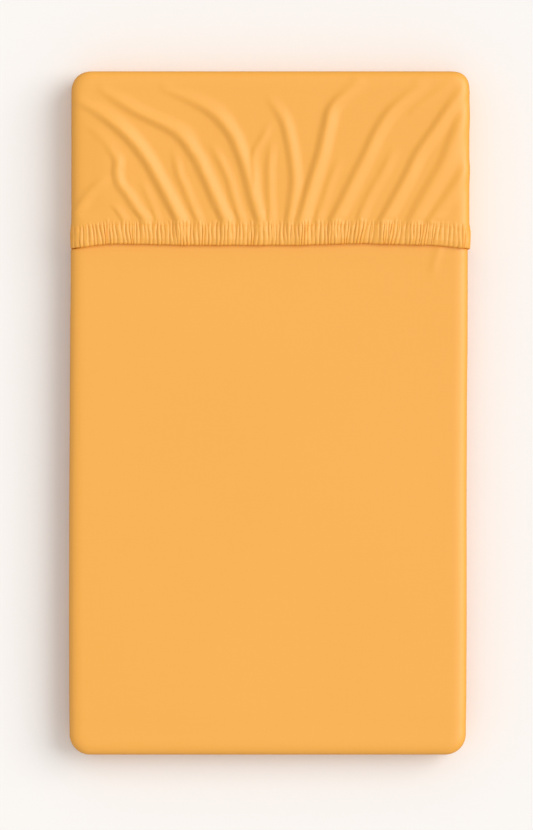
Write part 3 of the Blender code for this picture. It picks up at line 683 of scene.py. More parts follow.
def add_end_rows():
    columns = np.arange(RIM_LEFT, RIM_RIGHT + 1)
    places = FLAP_PLACES[columns]
    foot_x, side, side_share, _ = pocket_across(places)
    for step in range(1, ROUND_STEPS + 1):
        end_share = step / ROUND_STEPS
        way_x, way_y, turn = heading(side, side_share, 1.0, end_share, True)
        reach = CORNER * edge_out(turn)
        swell = fold_height(foot_x + reach * way_x, FLAT_END + reach * way_y) * np.cos(turn)
        outside, inside = over(foot_x, FLAT_END, way_x, way_y, turn, FLAP_TOP, CORNER, swell)
        arc = OVER_ARC * np.maximum(side_share, end_share)
        flat = np.stack((foot_x + arc * way_x, FLAT_END + arc * way_y), axis=-1)
        names = [pocket_name(column, FLAP_ROWS + step) for column in columns]
        sheet.points(names, outside, inside, flat)
        flap_names.append(names)


add_end_rows()
sheet.strip(flap_names[FLAP_ROWS][RIM_LEFT:RIM_RIGHT + 1], flap_names[FLAP_ROWS + 1])
for low, high in zip(flap_names[FLAP_ROWS + 1:], flap_names[FLAP_ROWS + 2:]):
    sheet.strip(low, high)
print("the top end turns over in", ROUND_STEPS, "steps")

# %% Under the ends
UNDER_SHARES = pocket_across(FLAP_PLACES[RIM_LEFT::-1])[3]
UNDER_STEPS = len(UNDER_SHARES) - 1


def rim_walk(first, last, low_row, high_row):
    """Columns and rows of a round end, from its left side round to its right one."""
    step = 1 if high_row > low_row else -1
    walk = [(first, row) for row in range(low_row, high_row, step)]
    walk += [(column, high_row) for column in range(first, last + 1)]
    return walk + [(last, row) for row in range(high_row - step, low_row - step, -step)]


def add_under_end(part, walk, foot_at, end, ring_name, slant=0.0):
    """The round edge under one end. Gives back the names of its line on the surface."""
    rings = [[(part, column, row) for column, row in walk]]
    for ring in range(1, UNDER_STEPS + 1):
        names = [ring_name(column, row, ring) for column, row in walk]
        for name, (column, row) in zip(names, walk):
            if name in sheet.places:
                continue
            foot_x, foot_y, side, side_share, end_share = foot_at(column, row)
            way_x, way_y, _ = heading(side, side_share, end, end_share, part == "pocket")
            share = UNDER_SHARES[ring]
            foot_y += slant * share * (1.0 - end_share) ** 2
            turn = (1.0 - share) * QUARTER
            outside, inside = under(foot_x, foot_y, way_x, way_y, turn, 0.0)
            arc = OVER_ARC + UNDER_ARC * share
            sheet.point(name, outside, inside, (foot_x + arc * way_x, foot_y + arc * way_y))
        rings.append(names)
    for near, far in zip(rings, rings[1:]):
        sheet.strip(near, far)
    return rings[-1]


def pocket_foot(column, row):
    foot_x, side, side_share, _ = pocket_across(FLAP_PLACES[column])
    end_share = (row - FLAP_ROWS) / ROUND_STEPS
    return float(foot_x), FLAT_END, float(side), float(side_share), end_share


def pocket_ring(column, row, ring):
    """At the pocket's sides the rings already have names: they are its columns."""
    if row == FLAP_ROWS:
        return pocket_name(column - ring if column == RIM_LEFT else column + ring, row)
    return "pocket", column, row, ring


pocket_rim = rim_walk(RIM_LEFT, RIM_RIGHT, FLAP_ROWS, FLAP_ROWS + ROUND_STEPS)
top_line = add_under_end("pocket", pocket_rim, pocket_foot, 1.0, pocket_ring)
print("under the end,", UNDER_STEPS, "rings of", len(top_line), "points")

# %% [markdown]
# ## The front panel
#
# Below the hem lies the smooth front panel. It comes from the back, round the bottom end, and
# goes on up under the pocket. Its sides are folded in: they curl down over the packet's edge
# and stop in a soft round nose. It is nearly flat, but pressed cotton always keeps some broad
# waves, and here it keeps one faint crease beside the hem.

# %% Table of the panel's sides
Side = namedtuple("Side", "y left right across")
SIDES = (
    Side(-202, -126.0, 123.5, 13.0),
    Side(-170, -126.2, 123.8, 13.0),
    Side(-120, -126.3, 124.0, 13.0),
    Side(-60, -126.2, 124.0, 13.0),
    Side(0, -125.9, 124.2, 13.0),
    Side(50, -125.6, 124.6, 13.0),
    Side(82, -125.3, 124.7, 13.0),
    Side(102.7, -125.2, 124.7, 12.8),
    Side(103.9, -122.6, 123.6, 10.9),
    Side(122, -122.6, 123.6, 10.9),
    Side(190, -122.6, 123.6, 10.9),
)
PANEL_CELLS = 56
PANEL_FINER = (0.0, 0.7, 1.0), (0.0, 0.87, 1.0)     # the last columns are finer, for a crease
PANEL_COLUMNS = PANEL_CELLS + 2 * ROUND_STEPS
PANEL_ROWS = 74                 # up to just below the hem
PANEL_SHOWN_Y = 95.5 * MM
LAST_ROWS = (98.0, 100.5, 102.7, 103.0, 103.3, 103.6, 103.9, 105.4, 122.0, 190.0)    # mm
SWELL_ROWS = 4                  # over which its waves start at the bottom end
CURL_TURN = math.radians(95.0)  # how far its sides turn down from flat, and how that varies
CURL_WAVE = math.radians(3.0)
CURL_WAVE_Y = 240.0 * MM
OPENING_SLANT = 14.0 * MM       # how far the open side starts later underneath


def side_at(y):
    """Left, right and plan width of the panel's round sides at a height up the packet."""
    low = next((row for row in SIDES[-2::-1] if y >= row.y * MM), SIDES[0])
    high = SIDES[SIDES.index(low) + 1]
    share = float(smooth((y / MM - low.y) / (high.y - low.y)))
    return [between(getattr(low, name), getattr(high, name), share) * MM
            for name in ("left", "right", "across")]


print("the panel is", round((side_at(0.0)[1] - side_at(0.0)[0]) / MM, 1), "mm wide")

# %% Waves and creases of the panel
PANEL_SWELL = 0.25 * MM
PANEL_WAVE_X, PANEL_WAVE_Y = 195.0 * MM, 295.0 * MM
PANEL_WAVE_STARTS = (1.0, 2.0)
PANEL_LEVEL_Y, PANEL_LEVEL_OVER = 92.0 * MM, 40.0 * MM
HEM_TOUCH = 0.3 * MM            # how far it swells up to the hem's edge
HEM_TOUCH_FROM, HEM_TOUCH_RISES = 92.0 * MM, 8.0 * MM
HEM_TOUCH_TO, HEM_TOUCH_FALLS = 103.0 * MM, 3.0 * MM
Crease = namedtuple("Crease", "x y x_end y_end width height")
CREASES = (
    Crease(106.4, 103.0, 102.4, 91.0, 2.2, 0.5),
)


def panel_swell(x, y):
    """The panel's broad waves, its swell beside the hem, and its creases."""
    wave = np.sin(math.tau * x / PANEL_WAVE_X + PANEL_WAVE_STARTS[0])
    wave = wave * math.sin(math.tau * y / PANEL_WAVE_Y + PANEL_WAVE_STARTS[1])
    swell = PANEL_SWELL * (1.0 + wave) * smooth((PANEL_LEVEL_Y - y) / PANEL_LEVEL_OVER)
    touch = smooth((y - HEM_TOUCH_FROM) / HEM_TOUCH_RISES)
    swell += HEM_TOUCH * touch * (1.0 - smooth((y - HEM_TOUCH_TO) / HEM_TOUCH_FALLS))
    for crease in CREASES:
        start = np.array((crease.x, crease.y)) * MM
        span = np.array((crease.x_end, crease.y_end)) * MM - start
        off = np.stack((x - start[0], np.full_like(x, y - start[1])), axis=-1)
        share = off @ span / (span @ span)
        gap = np.linalg.norm(off - np.clip(share, 0.0, 1.0)[:, None] * span, axis=1)
        swell += crease.height * MM * np.exp(-(gap / (crease.width * MM)) ** 2)
    return swell


print(len(CREASES), "creases by hand")

# %% Rows of the panel
def panel_across(columns, y):
    """Foot x, side and share over the edge of the panel's columns, and its sides' width."""
    left, right, across = side_at(y)
    left, right = left + across, right - across
    columns = np.asarray(columns, float)
    place = np.interp((columns - ROUND_STEPS) / PANEL_CELLS, *PANEL_FINER)
    foot_x = between(left, right, place)
    side = np.where(columns < PANEL_COLUMNS / 2, -1.0, 1.0)
    past = np.abs(columns - PANEL_COLUMNS / 2) - PANEL_CELLS / 2
    return foot_x, side, np.clip(past / ROUND_STEPS, 0.0, 1.0), across


def panel_name(column, row):
    return "panel", column, row


def add_panel_row(row, y):
    columns = np.arange(-1, PANEL_COLUMNS + 2)
    foot_x, side, share, across = panel_across(columns, y)
    wave = CURL_TURN + CURL_WAVE * np.sin(math.tau * y / CURL_WAVE_Y + side)
    curled = (columns < 0) | (columns > PANEL_COLUMNS)
    turn = np.where(curled, wave, even_turn(share))
    swell = panel_swell(foot_x, y) * np.maximum(np.cos(turn), 0.0)
    swell *= smooth((row - ROUND_STEPS) / SWELL_ROWS)
    outside, inside = over(foot_x, y, side, 0.0, turn, PANEL_TOP, across, swell)
    run = OVER_ARC * share + (PANEL_TOP - WIDEST_Z) * np.maximum(turn - QUARTER, 0.0)
    flat = np.stack((foot_x + side * run, np.full_like(foot_x, y)), axis=-1)
    keep = slice(1, -1) if row == ROUND_STEPS else slice(None)
    names = [panel_name(int(column), row) for column in columns]
    sheet.points(names[keep], outside[keep], inside[keep], flat[keep])
    return names


def add_panel_end_row(step):
    foot_x, side, side_share, _ = panel_across(np.arange(PANEL_COLUMNS + 1), -FLAT_END)
    end_share = 1.0 - step / ROUND_STEPS
    way_x, way_y, turn = heading(side, side_share, -1.0, end_share, False)
    outside, inside = over(foot_x, -FLAT_END, way_x, way_y, turn, PANEL_TOP, CORNER, 0.0)
    arc = OVER_ARC * np.maximum(side_share, end_share)
    flat = np.stack((foot_x + arc * way_x, -FLAT_END + arc * way_y), axis=-1)
    names = [panel_name(column, step) for column in range(PANEL_COLUMNS + 1)]
    sheet.points(names, outside, inside, flat)
    return names


panel_ys = np.append(np.linspace(-FLAT_END, PANEL_SHOWN_Y, PANEL_ROWS + 1),
                     np.array(LAST_ROWS) * MM)
end_rows = [add_panel_end_row(step) for step in range(ROUND_STEPS)]
panel_rows = [add_panel_row(ROUND_STEPS + row, float(y)) for row, y in enumerate(panel_ys)]
for low, high in zip(end_rows, end_rows[1:] + [panel_rows[0][1:-1]]):
    sheet.strip(low, high)
sheet.strip(panel_rows[0][1:-1], panel_rows[1][1:-1])
for edge, rim in ((0, 1), (-1, -2)):
    sheet.cell(panel_rows[0][rim], panel_rows[1][rim], panel_rows[1][edge])
for low, high in zip(panel_rows[1:], panel_rows[2:]):
    sheet.strip(low, high)
print("the panel has", len(end_rows) + len(panel_rows), "rows")

# %% Under the bottom end
def panel_foot(column, row):
    foot_x, side, side_share, _ = panel_across([column], -FLAT_END)
    end_share = 1.0 - row / ROUND_STEPS
    return float(foot_x[0]), -FLAT_END, float(side[0]), float(side_share[0]), end_share


panel_rim = rim_walk(0, PANEL_COLUMNS, ROUND_STEPS, 0)
bottom_line = add_under_end("panel", panel_rim, panel_foot, -1.0,
                            lambda column, row, ring: ("panel", column, row, ring),
                            OPENING_SLANT)
print("the bottom line has", len(bottom_line), "points")

# %% [markdown]
# ## The plies inside
#
# A whole sheet is about three and a half square metres of cloth, so a packet of this size has
# more than thirty plies. They run to and fro between the two ends. Their side edges show
# between the curled panel and the back, so there they are uneven. Higher up and near the ends
# the outer cloth hides them, and they need only a few points.

# %% Sizes of the plies
PLY_COUNT = 33
PLY = 0.42 * MM
PLY_ROOM = 0.17 * MM            # between two plies
PLY_LOWEST = CLOTH + PLY_ROOM
PLY_PITCH = (PANEL_TOP - CLOTH - PLY_LOWEST) / PLY_COUNT
PLY_FOLD_STEPS = 3
PLY_FOLD_ROOM = 1.0 * MM
PLY_EDGE_ROOM = 0.5 * MM
SHOWN_PLIES = 13
SHOWN_FROM, SHOWN_TO = -172.0, 94.0     # mm up the packet
SHOWN_STOPS = 33
TOP_STOPS, BOTTOM_STOPS = [200, 104], [-188, -202]      # mm, hidden by the outer cloth
PLY_STOPS = TOP_STOPS + np.linspace(SHOWN_TO, SHOWN_FROM, SHOWN_STOPS).tolist() + BOTTOM_STOPS
HIDDEN_STOPS = TOP_STOPS + [SHOWN_TO, SHOWN_FROM] + BOTTOM_STOPS
print("plies", round(PLY_PITCH / MM, 3), "mm apart")

# %% How uneven the plies' sides are
PLY_INSET = 1.0                 # mm, from the panel's sides to the sides that reach furthest
PLY_UNEVEN = 1.6                # mm more, at most, for the others
PLY_TUCKED = 1.6                # mm more for the lowest plies
PLY_WAVE = 0.45                 # mm, height of a slow wave along each side
PLY_WAVE_SHORT, PLY_WAVE_MORE = 60.0, 90.0      # mm, the shortest such wave, and what is added
PLY_WAVE_TURNS = 6.0            # radians, over which the starts of the waves are spread
PLY_RIPPLE, PLY_RIPPLE_LENGTH = 0.12, 5.0       # mm, and mm for each radian
INSET_START, LENGTH_START, TURN_START = 60, 70, 80      # where the unevenness starts to count


def shown_inset(ply, side, y):
    """How far inside the panel's side a ply ends: it shares each fold with the next one."""
    pair = (ply + side) // 2 * 2 + side
    inset = PLY_INSET + PLY_UNEVEN * float(uneven(pair + INSET_START))
    inset += PLY_TUCKED * (1.0 - ply / SHOWN_PLIES) ** 3
    length = PLY_WAVE_SHORT + PLY_WAVE_MORE * float(uneven(pair + LENGTH_START))
    start = PLY_WAVE_TURNS * float(uneven(pair + TURN_START))
    inset += PLY_WAVE * math.sin(math.tau * y / MM / length + start)
    inset += PLY_RIPPLE * math.sin(y / MM / PLY_RIPPLE_LENGTH + ply * 2.0)
    return inset * MM


print("the lowest ply ends", round(shown_inset(1, 0, 0.0) / MM, 2), "mm inside the panel")

# %% Where a ply turns and where its sides are
def room(height, top):
    """How far past the flat there is room inside the outer cloth at a height."""
    if height > WIDEST_Z:
        share = (height - WIDEST_Z) / (top - WIDEST_Z - CLEARANCE)
        return (CORNER - CLEARANCE) * math.sqrt(max(1.0 - share * share, 0.0))
    share = (WIDEST_Z - height) / (WIDEST_Z - CLEARANCE)
    below = (UNDER_ROUND - CLEARANCE) * math.sqrt(max(1.0 - share * share, 0.0))
    return CORNER - UNDER_ROUND + below


def ply_faces(ply):
    """Heights of a ply's outside and inside: each fold turns them over."""
    if ply > PLY_COUNT:
        return PANEL_TOP, PANEL_TOP - CLOTH
    low = PLY_LOWEST + (ply - 1) * PLY_PITCH
    return (low + PLY, low) if ply % 2 == 0 else (low, low + PLY)


def ply_turn(ply, end):
    """Height up the packet of the fold at a ply's top end, 1, or bottom end, -1."""
    upper = ply + (ply % 2 == (end > 0))
    high = max(ply_faces(upper))
    low = min(ply_faces(max(upper - 1, 1)))
    top = FLAP_TOP if end > 0 else PANEL_TOP
    radius = (high - low) / 2
    return end * (FLAT_END + min(room(high, top), room(low, top)) - radius - PLY_FOLD_ROOM)


def ply_sides(ply, y):
    """Left and right edge of a ply at a height up the packet."""
    left, right, _ = side_at(min(max(y, -FLAT_END), LAST_ROWS[-1] * MM))
    if ply <= SHOWN_PLIES and SHOWN_FROM * MM - TINY <= y <= SHOWN_TO * MM + TINY:
        return left + shown_inset(ply, 0, y), right - shown_inset(ply, 1, y)
    space = min(room(height, PANEL_TOP) for height in ply_faces(ply))
    inset = CORNER - space + PLY_EDGE_ROOM
    return left + inset, right - inset


print("ply 1 turns at", round(ply_turn(1, -1) / MM, 1), "mm")

# %% To and fro
def add_ply_row(row, name, sides, y, heights, run):
    """One more pair of points across a ply, joined to the row before."""
    ys = y if isinstance(y, tuple) else (y, y)
    names = [name + (side,) for side in (0, 1)]
    for point, x in zip(names, sides):
        sheet.point(point, (x, ys[0], heights[0]), (x, ys[1], heights[1]), (x, run))
    sheet.strip(row, names)
    return names


def flat_sides(y):
    left, right, across = side_at(y)
    return left + across, right - across


def add_plies():
    last = ROUND_STEPS + len(panel_ys) - 1
    row = [panel_name(column, last)
           for column in range(ROUND_STEPS, PANEL_COLUMNS - ROUND_STEPS + 1)]
    for ply in range(PLY_COUNT, 0, -1):
        upward = ply % 2 == 0
        end = -1 if upward else 1
        sides = flat_sides(-FLAT_END if upward else LAST_ROWS[-1] * MM)
        turn_y = ply_turn(ply, end)
        upper, lower = ply_faces(ply + 1), ply_faces(ply)
        if ply == PLY_COUNT:
            names = [("ply", ply + 1, "end", side) for side in (0, 1)]
            for name, x in zip(names, sides):
                sheet.point(name, (x, turn_y, upper[0]), (x, turn_y, upper[1]), (x, turn_y))
            sheet.cell(*row, names[1], names[0])
            row = names
        else:
            row = add_ply_row(row, ("ply", ply + 1, "end"), sides, turn_y, upper, turn_y)
        for step in range(1, PLY_FOLD_STEPS + 1):
            angle = step / PLY_FOLD_STEPS * math.pi
            heights = [between(high, low, (1 - math.cos(angle)) / 2)
                       for high, low in zip(upper, lower)]
            outs = [turn_y + end * abs(high - low) / 2 * math.sin(angle)
                    for high, low in zip(upper, lower)]
            row = add_ply_row(row, ("ply", ply, "fold", step), sides, tuple(outs), heights,
                              turn_y)
        stops = PLY_STOPS if ply <= SHOWN_PLIES else HIDDEN_STOPS
        for stop in stops[::-1] if upward else stops:
            y = max(stop * MM, ply_turn(ply, -1) + PLY_PITCH)
            y = min(y, ply_turn(ply, 1) - PLY_PITCH)
            row = add_ply_row(row, ("ply", ply, float(stop)), ply_sides(ply, y), y,
                              ply_faces(ply), y)
    add_ply_row(row, ("ply", 1, "raw edge"), flat_sides(-FLAT_END), ply_turn(1, -1),
                ply_faces(1), -FLAT_END)


add_plies()
print(PLY_COUNT, "plies")

# %% [markdown]
# ## The back
#
# The back lies flat on the surface, so it is bounded by everything above: the pocket, the
# bottom end, and its own side edges. A Delaunay triangulation fills an outline of any shape
# with even triangles, and points inside it let the pressed cloth have shallow hollows.

# %% The back's outline
UNDER_WAVE = 1.0 * MM
UNDER_WAVE_Y = 145.0 * MM
BACK_STOPS = np.linspace(-178, 92, 46)


def back_sides():
    left_edge, right_edge = [], []
    for y in BACK_STOPS * MM:
        left, right, _ = side_at(y)
        wave = UNDER_WAVE * math.sin(math.tau * y / UNDER_WAVE_Y)
        for names, side, x in ((left_edge, 0, left + UNDER_ROUND + wave),
                               (right_edge, 1, right - UNDER_ROUND + wave)):
            name = ("back", side, float(y))
            sheet.point(name, (x, y, 0.0), (x, y, CLOTH), (x, y))
            names.append(name)
    return left_edge, right_edge


left_edge, right_edge = back_sides()


def back_outline(hem_rows, flap_rows):
    """The names round the back, from the hem's left corner over the top and round."""
    outline = [hem_name(0, row) for row in hem_rows]
    outline += [pocket_name(0, row) for row in flap_rows]
    outline += top_line
    outline += [pocket_name(FLAP_COLUMNS, row) for row in flap_rows[::-1]]
    outline += [hem_name(COLUMNS, row) for row in hem_rows[::-1]]
    return outline + right_edge[::-1] + bottom_line[::-1] + left_edge


outer_outline = back_outline(range(HEM_ROWS + GATHER_ROWS), range(FLAP_ROWS))
inner_outline = back_outline(INNER_ROWS, range(0, FLAP_ROWS, INSIDE_STEP))
sheet.cell(*inner_outline, faces=(1,))
print("the back's outline has", len(outer_outline), "points")

# %% Hollows in the back
BACK_STEP = 5.0 * MM
BACK_MARGIN = 4.0 * MM          # from the outline to the first points inside it
BACK_NEAR = 6.0 * MM            # a row of points heeds the outline this far up and down
BACK_MERGE = 1e-7               # metres, below which two points are one
HOLLOW = 0.35 * MM
HOLLOW_X, HOLLOW_Y = 83.0 * MM, 131.0 * MM
HOLLOW_SLANT, HOLLOW_START = 3.0, 1.3       # radians


def hollow(x, y):
    wave = math.sin(math.tau * x / HOLLOW_X + HOLLOW_SLANT * y / HOLLOW_Y)
    wave *= math.sin(math.tau * y / HOLLOW_Y + HOLLOW_START)
    return HOLLOW * wave * wave


def fill_back():
    border = [Vector(sheet.places[name][0][:2]) for name in outer_outline]
    count = len(border)
    reaches = (max(abs(spot[axis]) for spot in border) - BACK_MARGIN for axis in (0, 1))
    xs, ys = (np.arange(-reach, reach, BACK_STEP) for reach in reaches)
    spots, keep = list(border), []
    for row, y in enumerate(ys):
        near = [spot.x for spot in border if abs(spot.y - y) < BACK_NEAR]
        left, right = max(x for x in near if x < 0), min(x for x in near if x > 0)
        for x in xs + (row % 2) * BACK_STEP / 2:
            if left + BACK_MARGIN < x < right - BACK_MARGIN:
                spots.append(Vector((x, y)))
                keep.append((x, y))
    edges = [(step, (step + 1) % count) for step in range(count)]
    _, _, faces, sources_of, _, _ = delaunay_2d_cdt(spots, edges, [], 1, BACK_MERGE)
    names = {}
    for place, sources in enumerate(sources_of):
        source = sources[0]
        if source < count:
            names[place] = outer_outline[source]
        else:
            x, y = keep[source - count]
            names[place] = ("back", "inside", source)
            sheet.point(names[place], (x, y, hollow(x, y)), (x, y, CLOTH), (x, y))
    for face in faces:
        sheet.cell(*(names[place] for place in face), faces=(0,))
    return len(faces)


print("the back has", fill_back(), "triangles")

# %% The finished cloth
sheet_mesh = cloth_to_mesh(sheet, "folded_sheet")
sheet_mesh.shade_smooth()
folded_sheet = bpy.data.objects.new("folded_sheet", sheet_mesh)
bpy.context.scene.collection.objects.link(folded_sheet)
sheet_mesh.calc_loop_triangles()
print("folded_sheet:", len(sheet_mesh.loop_triangles), "triangles,",
      round(sum(face.area for face in sheet_mesh.polygons) / 2, 2), "square metres")

# %% [markdown]
# ## The sewing
#
# The casing is closed by one row of stitches along its top, in thread of the same colour. The
# elastic has drawn the cloth together since, so each stitch sits on the ridge of a pleat and
# its ends sink into the valleys. One stitch is modelled from a stretched ball, and the others
# are copies that follow the ridges.

# %% One stitch
STITCH_RADIUS = 0.17 * MM
STITCH_RISE = 0.05 * MM         # how far the thread's middle lies above the cloth
STITCH_FROM, STITCH_TO = 1.6, 6.4       # columns of a pleat that it covers
STITCH_NEAR, STITCH_MIDDLE, STITCH_FAR = 2, 4, 6    # columns that give its direction
BALL_CUTS = 8                   # round the ball and down it

bpy.ops.object.select_all(action="DESELECT")
bpy.ops.mesh.primitive_uv_sphere_add(segments=BALL_CUTS, ring_count=BALL_CUTS, radius=1.0)
stitch = bpy.context.object
bpy.ops.object.mode_set(mode="EDIT")
bpy.ops.mesh.select_all(action="SELECT")
bpy.ops.transform.translate(value=(0.0, 0.0, 1.0))
bpy.ops.transform.resize(value=(1.0, 1.0, 0.5), center_override=(0.0, 0.0, 0.0))
bpy.ops.object.mode_set(mode="OBJECT")
stitch_spots = np.array([vertex.co[:] for vertex in stitch.data.vertices])
stitch_faces = sorted(tuple(face.vertices) for face in stitch.data.polygons)
bpy.data.objects.remove(stitch, do_unlink=True)
print("a stitch has", len(stitch_faces), "faces")

# %% A row of stitches along the seam
def stitch_row():
    middle, above = (np.array([sheet.places[name][0] for name in hem_names[row]])
                     for row in (HEM_ROWS - 1, HEM_ROWS))
    columns = np.arange(COLUMNS + 1)
    spots, faces = [], []
    first, last = PLEATS_UNDER + 1, PLEAT_COUNT - PLEATS_UNDER - 1
    for pleat in range(first, last):
        first_column = pleat * PLEAT_POINTS
        place = first_column + between(STITCH_FROM, STITCH_TO, stitch_spots[:, 2])
        line = np.stack([np.interp(place, columns, middle[:, axis]) for axis in range(3)], -1)
        along = middle[first_column + STITCH_FAR] - middle[first_column + STITCH_NEAR]
        along /= np.linalg.norm(along)
        up = above[first_column + STITCH_MIDDLE] - middle[first_column + STITCH_MIDDLE]
        side = up - along * (up @ along)
        side /= np.linalg.norm(side)
        out = np.cross(along, side)
        spot = line + STITCH_RISE * out
        spot = spot + STITCH_RADIUS * (stitch_spots[:, 0:1] * side + stitch_spots[:, 1:2] * out)
        start = len(spots) * len(stitch_spots)
        spots.append(spot)
        faces += [tuple(corner + start for corner in face) for face in stitch_faces]
    mesh = bpy.data.meshes.new("hem_stitches")
    mesh.from_pydata(np.concatenate(spots).tolist(), [], faces)
    mesh.shade_smooth()
    row = bpy.data.objects.new("hem_stitches", mesh)
    bpy.context.scene.collection.objects.link(row)
    bpy.ops.object.select_all(action="DESELECT")
    row.select_set(True)
    bpy.context.view_layer.objects.active = row
    bpy.ops.object.mode_set(mode="EDIT")
    bpy.ops.mesh.select_all(action="SELECT")
    bpy.ops.mesh.normals_make_consistent(inside=False)
    bpy.ops.object.mode_set(mode="OBJECT")
    return row, len(spots)


hem_stitches, stitch_count = stitch_row()
print(stitch_count, "stitches")

# %% [markdown]
# ## Woven cotton
#
# Plain cotton is matt. Its weave is finer than half a millimetre, so from a step away it only
# softens the light, but near by it shows as tiny bumps in rows. The pattern runs with the
# cloth, so it uses the UV map, which holds metres on the unfolded sheet. Some threads are
# thicker than others, which gives faint streaks both ways, and the dye is never quite even.

# %% Helpers for materials
def new_material(title):
    material = bpy.data.materials.new(title)
    material.use_nodes = True
    return material, material.node_tree


def add_node(tree, kind, **values):
    node = tree.nodes.new(kind)
    for name, value in values.items():
        setattr(node, name, value)
    return node


def math_node(tree, operation, first, second=None):
    node = add_node(tree, "ShaderNodeMath", operation=operation)
    for socket, value in zip(node.inputs, (first, second)):
        if value is None:
            continue
        if isinstance(value, (int, float)):
            socket.default_value = value
        else:
            tree.links.new(value, socket)
    return node.outputs[0]


def streaks(tree, vector, across, along):
    """Noise that is drawn out along the threads: repeats for each metre, both ways."""
    mapping = add_node(tree, "ShaderNodeMapping")
    mapping.inputs["Scale"].default_value = (across, along, 1.0)
    tree.links.new(vector, mapping.inputs["Vector"])
    noise = add_node(tree, "ShaderNodeTexNoise")
    noise.inputs["Scale"].default_value = 1.0
    noise.inputs["Detail"].default_value = 1.0
    tree.links.new(mapping.outputs["Vector"], noise.inputs["Vector"])
    return noise.outputs["Fac"]


print("helpers for nodes")

# %% Orange cotton
COLOUR_MIX_INPUTS, COLOUR_MIX_OUTPUT = (0, 6, 7), 2     # of a Mix node that is set to colour
THREAD = 0.36 * MM              # between two threads of the weave
COTTON_DEEP = (0.960, 0.410, 0.034, 1.0)
COTTON_LIGHT = (0.990, 0.448, 0.050, 1.0)
COTTON_ROUGHNESS = 0.5
COTTON_GLOSS = 1.0              # pressed cotton shines a little where it faces the light
WEAVE_BUMP = 0.35
WEAVE_DEPTH = 0.05 * MM
STREAKS_ACROSS, STREAKS_ALONG = 900.0, 30.0     # for each metre
STREAK_TONE, DYE_TONE = 0.35, 0.4       # how much each of them shifts the tone
DYE_SCALE, DYE_DETAIL = 14.0, 3.0


def cotton_tones(tree, share):
    """The colour between the deep and the light tone: uneven dye on the cloth, and painted shade
    in the grooves of the thread's twist.
    """
    tones = add_node(tree, "ShaderNodeMix", data_type="RGBA")
    factor, deep, light = (tones.inputs[place] for place in COLOUR_MIX_INPUTS)
    deep.default_value, light.default_value = COTTON_DEEP, COTTON_LIGHT
    tree.links.new(share, factor)
    return tones.outputs[COLOUR_MIX_OUTPUT]


def cotton():
    material, tree = new_material("orange_cotton_woven")
    shader = tree.nodes["Principled BSDF"]
    flat = add_node(tree, "ShaderNodeUVMap", uv_map="cloth")
    split = add_node(tree, "ShaderNodeSeparateXYZ")
    tree.links.new(flat.outputs["UV"], split.inputs["Vector"])
    turn = math.pi / THREAD
    waves = [math_node(tree, "SINE", math_node(tree, "MULTIPLY", split.outputs[axis], turn))
             for axis in ("X", "Y")]
    weave = math_node(tree, "MULTIPLY", *waves)
    warp = streaks(tree, flat.outputs["UV"], STREAKS_ACROSS, STREAKS_ALONG)
    weft = streaks(tree, flat.outputs["UV"], STREAKS_ALONG, STREAKS_ACROSS)
    threads = math_node(tree, "ADD", warp, weft)
    bump = add_node(tree, "ShaderNodeBump")
    bump.inputs["Strength"].default_value = WEAVE_BUMP
    bump.inputs["Distance"].default_value = WEAVE_DEPTH
    height = math_node(tree, "ADD", weave, threads)
    tree.links.new(height, bump.inputs["Height"])
    place = add_node(tree, "ShaderNodeTexCoord")
    dye = add_node(tree, "ShaderNodeTexNoise")
    dye.inputs["Scale"].default_value = DYE_SCALE
    dye.inputs["Detail"].default_value = DYE_DETAIL
    tree.links.new(place.outputs["Object"], dye.inputs["Vector"])
    patches = math_node(tree, "MULTIPLY", dye.outputs["Fac"], DYE_TONE)
    tone = math_node(tree, "ADD", math_node(tree, "MULTIPLY", threads, STREAK_TONE), patches)
    tree.links.new(cotton_tones(tree, tone), shader.inputs["Base Color"])
    tree.links.new(bump.outputs["Normal"], shader.inputs["Normal"])
    shader.inputs["Roughness"].default_value = COTTON_ROUGHNESS
    shader.inputs["Specular IOR Level"].default_value = COTTON_GLOSS
    return material


orange_cotton = cotton()
folded_sheet.data.materials.append(orange_cotton)
print("cotton with", round(THREAD / MM, 2), "mm between threads")

# %% Sewing thread
TWIST_SCALE = 700.0             # about 1,100 bands for each metre
TWIST_BUMP, TWIST_DEPTH = 0.4, 0.05 * MM
THREAD_ROUGHNESS = 0.6


def thread():
    material, tree = new_material("orange_thread")
    shader = tree.nodes["Principled BSDF"]
    place = add_node(tree, "ShaderNodeTexCoord")
    twist = add_node(tree, "ShaderNodeTexWave", bands_direction="DIAGONAL")
    twist.inputs["Scale"].default_value = TWIST_SCALE
    tree.links.new(place.outputs["Object"], twist.inputs["Vector"])
    bump = add_node(tree, "ShaderNodeBump")
    bump.inputs["Strength"].default_value = TWIST_BUMP
    bump.inputs["Distance"].default_value = TWIST_DEPTH
    tree.links.new(twist.outputs["Fac"], bump.inputs["Height"])
    tree.links.new(bump.outputs["Normal"], shader.inputs["Normal"])
    # The thread's colour follows its twist: the grooves get the deep tone as painted shade, and
    # the ridges get the light one.
    tree.links.new(cotton_tones(tree, twist.outputs["Fac"]), shader.inputs["Base Color"])
    shader.inputs["Roughness"].default_value = THREAD_ROUGHNESS
    return material


hem_stitches.data.materials.append(thread())
print("thread for the seam")

# %% [markdown]
# ## The stage
#
# The packet lies on a plain pale floor, and the camera looks straight down at it from far
# away, so that nothing in the picture leans. Soft light comes from the right and a little
# from the top, low enough to show the folds, with pale light from all round. Only the sun
# shows in the cloth's gloss: a pale sky or floor in it would grey the dye where the folds turn
# away from the light.

# %% Floor
FLOOR_COLOUR = (0.905, 0.875, 0.845, 1.0)
FLOOR_SIZE = 6.0                # m
FLOOR_ROUGHNESS = 0.9

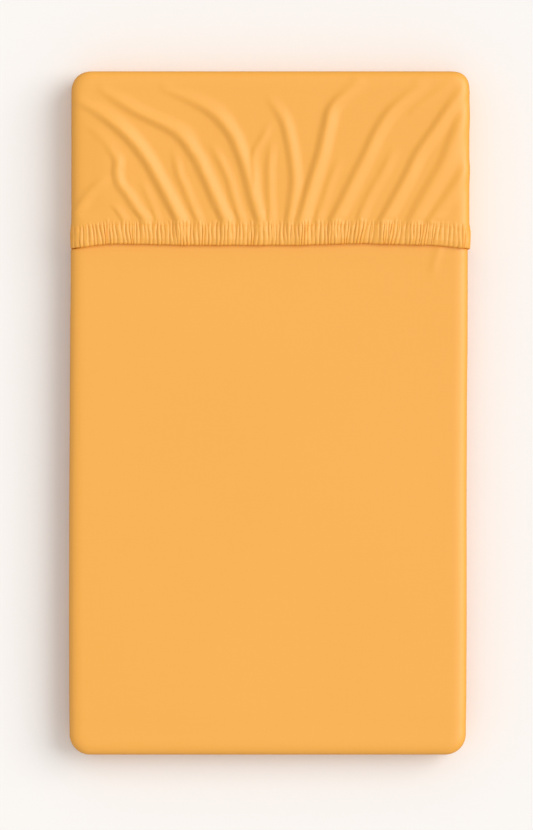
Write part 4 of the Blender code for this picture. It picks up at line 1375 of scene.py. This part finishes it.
bpy.ops.object.select_all(action="DESELECT")
bpy.ops.mesh.primitive_plane_add(size=FLOOR_SIZE)
floor = bpy.context.object
floor.name = "floor"
floor_material, floor_tree = new_material("pale_floor")
floor_shader = floor_tree.nodes["Principled BSDF"]
floor_shader.inputs["Base Color"].default_value = FLOOR_COLOUR
floor_shader.inputs["Roughness"].default_value = FLOOR_ROUGHNESS
floor.data.materials.append(floor_material)
floor.visible_glossy = False
print("floor", FLOOR_SIZE, "m wide")

# %% Light
SUN_STRENGTH = 1.72
SUN_ANGLE = 0.8                 # radians across, so that its shadows are soft
SUN_WAY = (-1.0, -0.35, -0.95)
SKY_STRENGTH = 0.71

bpy.ops.object.light_add(type="SUN", location=(1.0, 0.5, 1.0))
sun = bpy.context.object
sun.data.energy = SUN_STRENGTH
sun.data.angle = SUN_ANGLE
sun.rotation_euler = Vector(SUN_WAY).to_track_quat("-Z", "Y").to_euler()
world = bpy.data.worlds.new("studio")
bpy.context.scene.world = world
world.use_nodes = True
sky = world.node_tree.nodes["Background"]
sky.inputs["Color"].default_value = (1.0, 1.0, 1.0, 1.0)
sky.inputs["Strength"].default_value = SKY_STRENGTH
world.cycles_visibility.glossy = False
bpy.context.scene.view_settings.view_transform = "Standard"
print("sun and sky")

# %% Camera
LENS, SENSOR = 200.0, 36.0      # mm, a long lens, so that the sides don't lean
VIEW_LENGTH = 522.4 * MM        # what the long side of the picture spans
VIEW_MIDDLE = (-2.0 * MM, -1.25 * MM, 16.0 * MM)

distance = VIEW_LENGTH / 2 / (SENSOR / 2 / LENS)
bpy.ops.object.camera_add(location=(VIEW_MIDDLE[0], VIEW_MIDDLE[1], VIEW_MIDDLE[2] + distance))
camera = bpy.context.object
camera.data.lens = LENS
camera.data.sensor_width = SENSOR
camera.rotation_euler = (0.0, 0.0, 0.0)
bpy.context.scene.camera = camera
print("camera", round(distance, 2), "m above the packet")

# %% [markdown]
# ## What stands for what
#
# The fine cloth stands for the CAD model's one node. The stitches go with it. The sheet was
# cut to 1.4 by 2.5 metres, as for a narrow single mattress with deep sides.

# %% Pieces and the frame
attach(folded_sheet, "root")
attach(hem_stitches, "root")
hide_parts("fitted_sheet")
